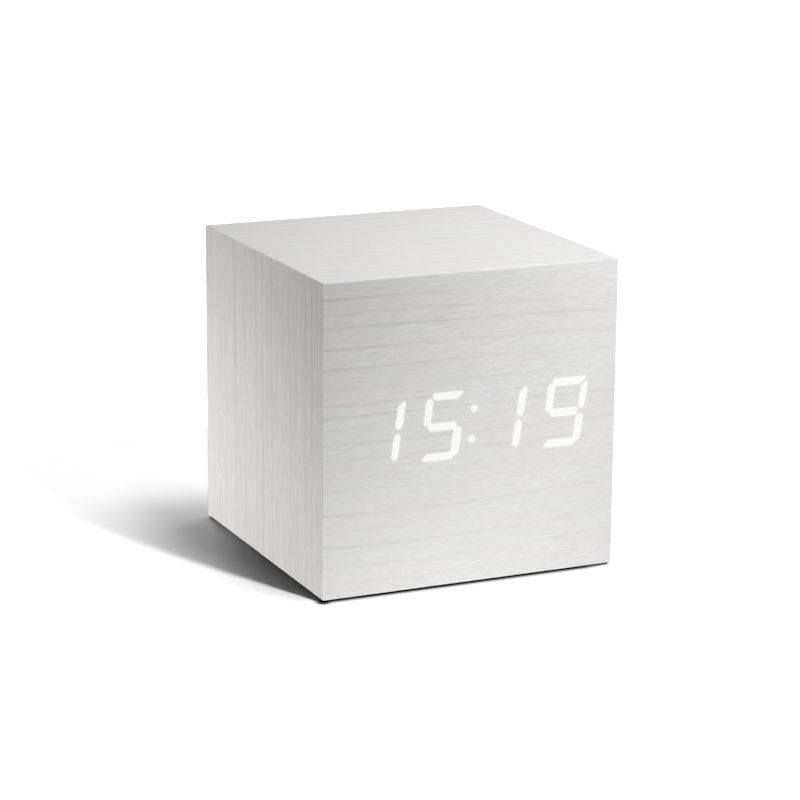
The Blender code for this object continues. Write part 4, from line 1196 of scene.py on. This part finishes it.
# ---- feet: soft-edged rubber discs with a shallow cup in the face that stands
n = 0
for sy in (-1, 1):
    for sx in (-1, 1):
        n += 1
        ob = make("foot_pad_%d" % n, lambda bm: add_turned(
            bm, [(0.1, 0.12), (1.7, 0.12), (1.95, 0.08), (2.2, 0.02), (2.5, 0.0), (2.9, 0.0), (3.08, 0.04), (3.17, 0.13), (3.2, 0.26),
                 (3.2, Z0 + 0.9), (3.1, Z0 + 1.0)], sx * FOOT_X, sy * FOOT_Y, "z", 64), RUBBER)
        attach(ob, "clock")
        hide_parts("foot_%d" % n)


# ---- gilt contacts on the socket's tongue
def tongue_contacts(bm):
    for x in (-1.95, -0.65, 0.65, 1.95):
        add_prism(bm, round_rect(SOCKET_X + x - 0.34, SOCKET_X + x + 0.34, 26.6, 31.0, 0.15, 3), "z", PANEL_Z - 0.56, PANEL_Z - 0.46)


ob = make("socket_contacts", tongue_contacts, GILT)
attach(ob, "clock")


# ---- tray and lid: the same shapes with softened edges
def softened(name, node, body, mat, width, segments=2):
    source = NODES[node]
    ob = link(bpy.data.objects.new(name, source.data.copy()))
    ob.data.materials.clear()
    ob.data.materials.append(mat)
    bm = bmesh.new()
    bm.from_mesh(ob.data)
    bmesh.ops.remove_doubles(bm, verts=bm.verts, dist=1e-6)
    bmesh.ops.dissolve_limit(bm, angle_limit=math.radians(1), verts=bm.verts, edges=bm.edges)
    bm.to_mesh(ob.data)
    bm.free()
    bevel(ob, width, segments, 50)
    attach(ob, body)
    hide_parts(node)
    return ob


softened("battery_lid_moulded", "battery_lid", "battery_cover", TRAY, 0.12)
softened("battery_tray_moulded", "battery_tray", "clock", TRAY, 0.12)

# ================================================================== camera
cam_data = bpy.data.cameras.new("camera")
cam = link(bpy.data.objects.new("camera", cam_data))
cam_data.sensor_width = 36.0
cam_data.lens = 127.272
cam_data.clip_start = 0.01
cam_data.clip_end = 50.0
cam.location = (-0.25093, -0.55077, 0.18765)
cam.rotation_euler = Euler((1.319521, -0.006832, -0.423815), "XYZ")
bpy.context.scene.camera = cam

# =================================================================== floor
g = Graph("studio_floor", rough=0.9, specular=0.0)
n = g.noise(g.coords(), 0.02, 2.0, 0.5)
pale = g.mix(g.range(n, 0.3, 0.7, 0.0, 1.0), (0.93, 0.93, 0.93), (0.95, 0.95, 0.95))
# painted contact shadow: the floor's colour is darkened where the case stands, and just around it
fx, fy, _ = split(g, g.coords())
ox = g.math("MAXIMUM", g.math("SUBTRACT", g.math("ABSOLUTE", fx), HX - 0.9), 0.0)
oy = g.math("MAXIMUM", g.math("SUBTRACT", g.math("ABSOLUTE", fy), HY - 0.9), 0.0)
away = g.math("SQRT", g.math("ADD", g.math("MULTIPLY", ox, ox), g.math("MULTIPLY", oy, oy)))
t = g.range(away, 0.0, 2.65, 1.0, 0.0)
painted_contact_shade = g.math("MULTIPLY", g.math("MULTIPLY", t, t), g.math("SUBTRACT", 3.0, g.math("MULTIPLY", t, 2.0)))
# the side that lies in the cast shadow anyway gets none of the painted shade, and the far end of the front little
aside = g.math("MULTIPLY", g.range(fx, -31.0, -33.5, 0.0, 1.0), g.range(fy, -33.2, -30.5, 0.0, 1.0))
painted_contact_shade = g.math("MULTIPLY", painted_contact_shade, g.math("SUBTRACT", 0.99, g.math("MULTIPLY", aside, g.range(fy, -34.0, 12.0, 0.62, 0.99))))
end = g.math("MULTIPLY", g.range(fx, 27.5, 33.5, 0.0, 1.0), g.range(fy, -31.0, -33.5, 0.0, 1.0))
painted_contact_shade = g.math("MULTIPLY", painted_contact_shade, g.range(end, 0.0, 1.0, 1.0, 0.35))
# a wider soft painted shade round the corner that is nearest
cx, cy = g.math("ADD", fx, 33.9), g.math("ADD", fy, 33.6)
t = g.range(g.math("SQRT", g.math("ADD", g.math("MULTIPLY", cx, cx), g.math("MULTIPLY", cy, cy))), 0.5, 2.3, 1.0, 0.0)
t = g.math("MULTIPLY", g.math("MULTIPLY", t, t), g.math("SUBTRACT", 3.0, g.math("MULTIPLY", t, 2.0)))
painted_contact_shade = g.math("SUBTRACT", 1.0, g.math("MULTIPLY", g.math("SUBTRACT", 1.0, painted_contact_shade), g.range(t, 0.0, 1.0, 1.0, 0.1)))
# the painted shadow's back edge reaches a little further out
cx, cy = g.math("MULTIPLY", g.math("ADD", fx, 36.0), 1.6), g.math("SUBTRACT", fy, 50.0)
t = g.range(g.math("SQRT", g.math("ADD", g.math("MULTIPLY", cx, cx), g.math("MULTIPLY", cy, cy))), 6.0, 26.0, 1.0, 0.0, smooth=True)
painted_contact_shade = g.math("MAXIMUM", painted_contact_shade, g.math("MULTIPLY", t, 0.075))
g.set(color=g.mix(painted_contact_shade, pale, (0.0, 0.0, 0.0)))
# and a little painted light: the floor glows faintly along the wall at its far end
cx = g.math("MULTIPLY", g.math("ADD", fx, 35.0), 4.5)
cy = g.math("SUBTRACT", fy, 27.0)
cy = g.math("MULTIPLY", cy, g.range(cy, -0.5, 0.5, 1.0, 2.5))
t = g.range(g.math("SQRT", g.math("ADD", g.math("MULTIPLY", cx, cx), g.math("MULTIPLY", cy, cy))), 1.0, 32.0, 1.0, 0.0, smooth=True)
g.set(emission=g.mix(t, (0.0, 0.0, 0.0), (0.065, 0.065, 0.065)))
g.bsdf.inputs["Emission Strength"].default_value = 1.0
floor = make("floor", lambda bm: bm.faces.new([bm.verts.new(p) for p in (
    (-6000, -6000, 0), (6000, -6000, 0), (6000, 9000, 0), (-6000, 9000, 0))]), g.mat, smooth=False)

# ================================================================== lights
scene = bpy.context.scene
scene.view_settings.view_transform = "Standard"
scene.view_settings.look = "None"

world = bpy.data.worlds.new("studio")
scene.world = world
world.use_nodes = True
wt = world.node_tree
bg = wt.nodes["Background"]
bg.inputs["Color"].default_value = (1, 1, 1, 1)
bg.inputs["Strength"].default_value = 0.05
cam_bg = wt.nodes.new("ShaderNodeBackground")
cam_bg.inputs["Color"].default_value = (1, 1, 1, 1)
cam_bg.inputs["Strength"].default_value = 1.0
lp = wt.nodes.new("ShaderNodeLightPath")
mx = wt.nodes.new("ShaderNodeMixShader")
wt.links.new(lp.outputs["Is Camera Ray"], mx.inputs[0])
wt.links.new(bg.outputs[0], mx.inputs[1])
wt.links.new(cam_bg.outputs[0], mx.inputs[2])
wt.links.new(mx.outputs[0], wt.nodes["World Output"].inputs[0])

# the floor and the object are lit apart, so that the shadow stays clean
stage_only = bpy.data.collections.new("lit_floor")
stage_only.objects.link(floor)
object_only = bpy.data.collections.new("lit_object")
object_only.objects.link(floor)
object_only.collection_objects[0].light_linking.link_state = "EXCLUDE"
floor.visible_diffuse = False
sleeve.visible_diffuse = False
veneer.visible_diffuse = False


def floor_sun(name, share, azimuth, elevation, half):
    """A sun for the floor alone. share is the part of the floor's white that it gives."""
    data = bpy.data.lights.new(name, "SUN")
    a, e = math.radians(azimuth), math.radians(elevation)
    data.energy = share * math.pi / 0.94 / math.sin(e)
    data.angle = 2 * math.radians(half)
    data.cycles.use_multiple_importance_sampling = False
    ob = link(bpy.data.objects.new(name, data))
    towards = Vector((math.cos(e) * math.cos(a), math.cos(e) * math.sin(a), math.sin(e)))
    ob.rotation_euler = (-towards).to_track_quat("-Z", "Y").to_euler()
    ob.light_linking.receiver_collection = stage_only
    return ob


def soft_box(name, at, towards, size, radiance, glossy=False):
    """A square soft light for the object alone, in mm. The floor doesn't block it."""
    data = bpy.data.lights.new(name, "AREA")
    data.shape = "SQUARE"
    data.size = size * MM
    data.energy = radiance * math.pi * (size * MM) ** 2
    ob = link(bpy.data.objects.new(name, data))
    ob.location = Vector(at) * MM
    ob.rotation_euler = Vector(towards).to_track_quat("-Z", "Y").to_euler()
    ob.visible_camera = False
    ob.visible_glossy = glossy
    ob.light_linking.receiver_collection = object_only
    ob.light_linking.blocker_collection = object_only
    return ob


for row in (
        ("floor_strip", 0.63, -67.70, 39.32, 2.50), ("floor_high", 0.40, -40.33, 70.77, 9.22),
        ("floor_right", 0.21, 2.19, 57.34, 30.19), ("floor_back", 0.20, 81.77, 56.06, 6.57),
        ("floor_low", 0.13, 31.50, 35.72, 32.50)):
    floor_sun(*row)

for row in (
        ("box_1", (60, -60, 218), (0, 0, -1), 70, 3.01),
        ("box_2", (-124, 60, 9), (1, 0, 0), 70, 4.68),
        ("box_3", (60, -124, 94), (0, 1, 0), 70, 4.25),
        ("box_4", (54, 0, 288), (-0.21, 0, -0.98), 160, 4.51),
        ("box_5", (-225, 0, 164), (0.87, 0, -0.5), 160, 0.56),
        ("box_6", (-124, -60, -86), (1, 0, 0), 70, 10.56),
        ("box_7", (-25, -60, 158), (0, 0, -1), 70, 1.50),
        ("box_8", (0, -124, -26), (0, 1, 0), 70, 5.09),
        ("box_9", (60, 25, 158), (0, 0, -1), 70, 1.10),
        ("box_10", (60, -124, 59), (0, 1, 0), 70, 0.80),
        ("box_right", (230, 40, 60), (-1, -0.1, -0.1), 160, 3.2),
        ("box_rear", (25, 240, 62), (-0.05, -1, -0.1), 160, 3.4)):
    soft_box(*row)

# ============================================================ plain nodes
FINISH = {
    "front_board": MDF, "rear_panel": WOOD_REAR, "display_diffuser": FILM, "display_frame": WHITE,
    "display_board": PCB_V, "control_board": PCB_V, "main_board": PCB_H,
    "control_plate": BLACK, "battery_tray": TRAY, "battery_lid": TRAY, "backup_cell_holder": EPOXY,
    "buzzer": EPOXY, "power_socket_tongue": EPOXY, "power_socket": NICKEL, "sound_switch_body": NICKEL,
    "microphone": NICKEL, "backup_cell": NICKEL, "clock_crystal": NICKEL, "microcontroller": EPOXY,
    "battery_wire_red": RED, "battery_wire_black": DARK, "display_ribbon": RIBBON, "control_ribbon": RIBBON,
}
for name, ob in NODES.items():
    if name in FINISH:
        mat = FINISH[name]
    elif name.startswith("foot_"):
        mat = RUBBER
    elif name.startswith("battery_cell"):
        mat = CELLS
    elif name.startswith("contact_"):
        mat = SPRING
    elif "screw" in name:
        mat = NICKEL
    elif name.endswith("_button") or name.endswith("_knob"):
        mat = KEY
    else:
        mat = EPOXY
    ob.data.materials.clear()
    ob.data.materials.append(mat)
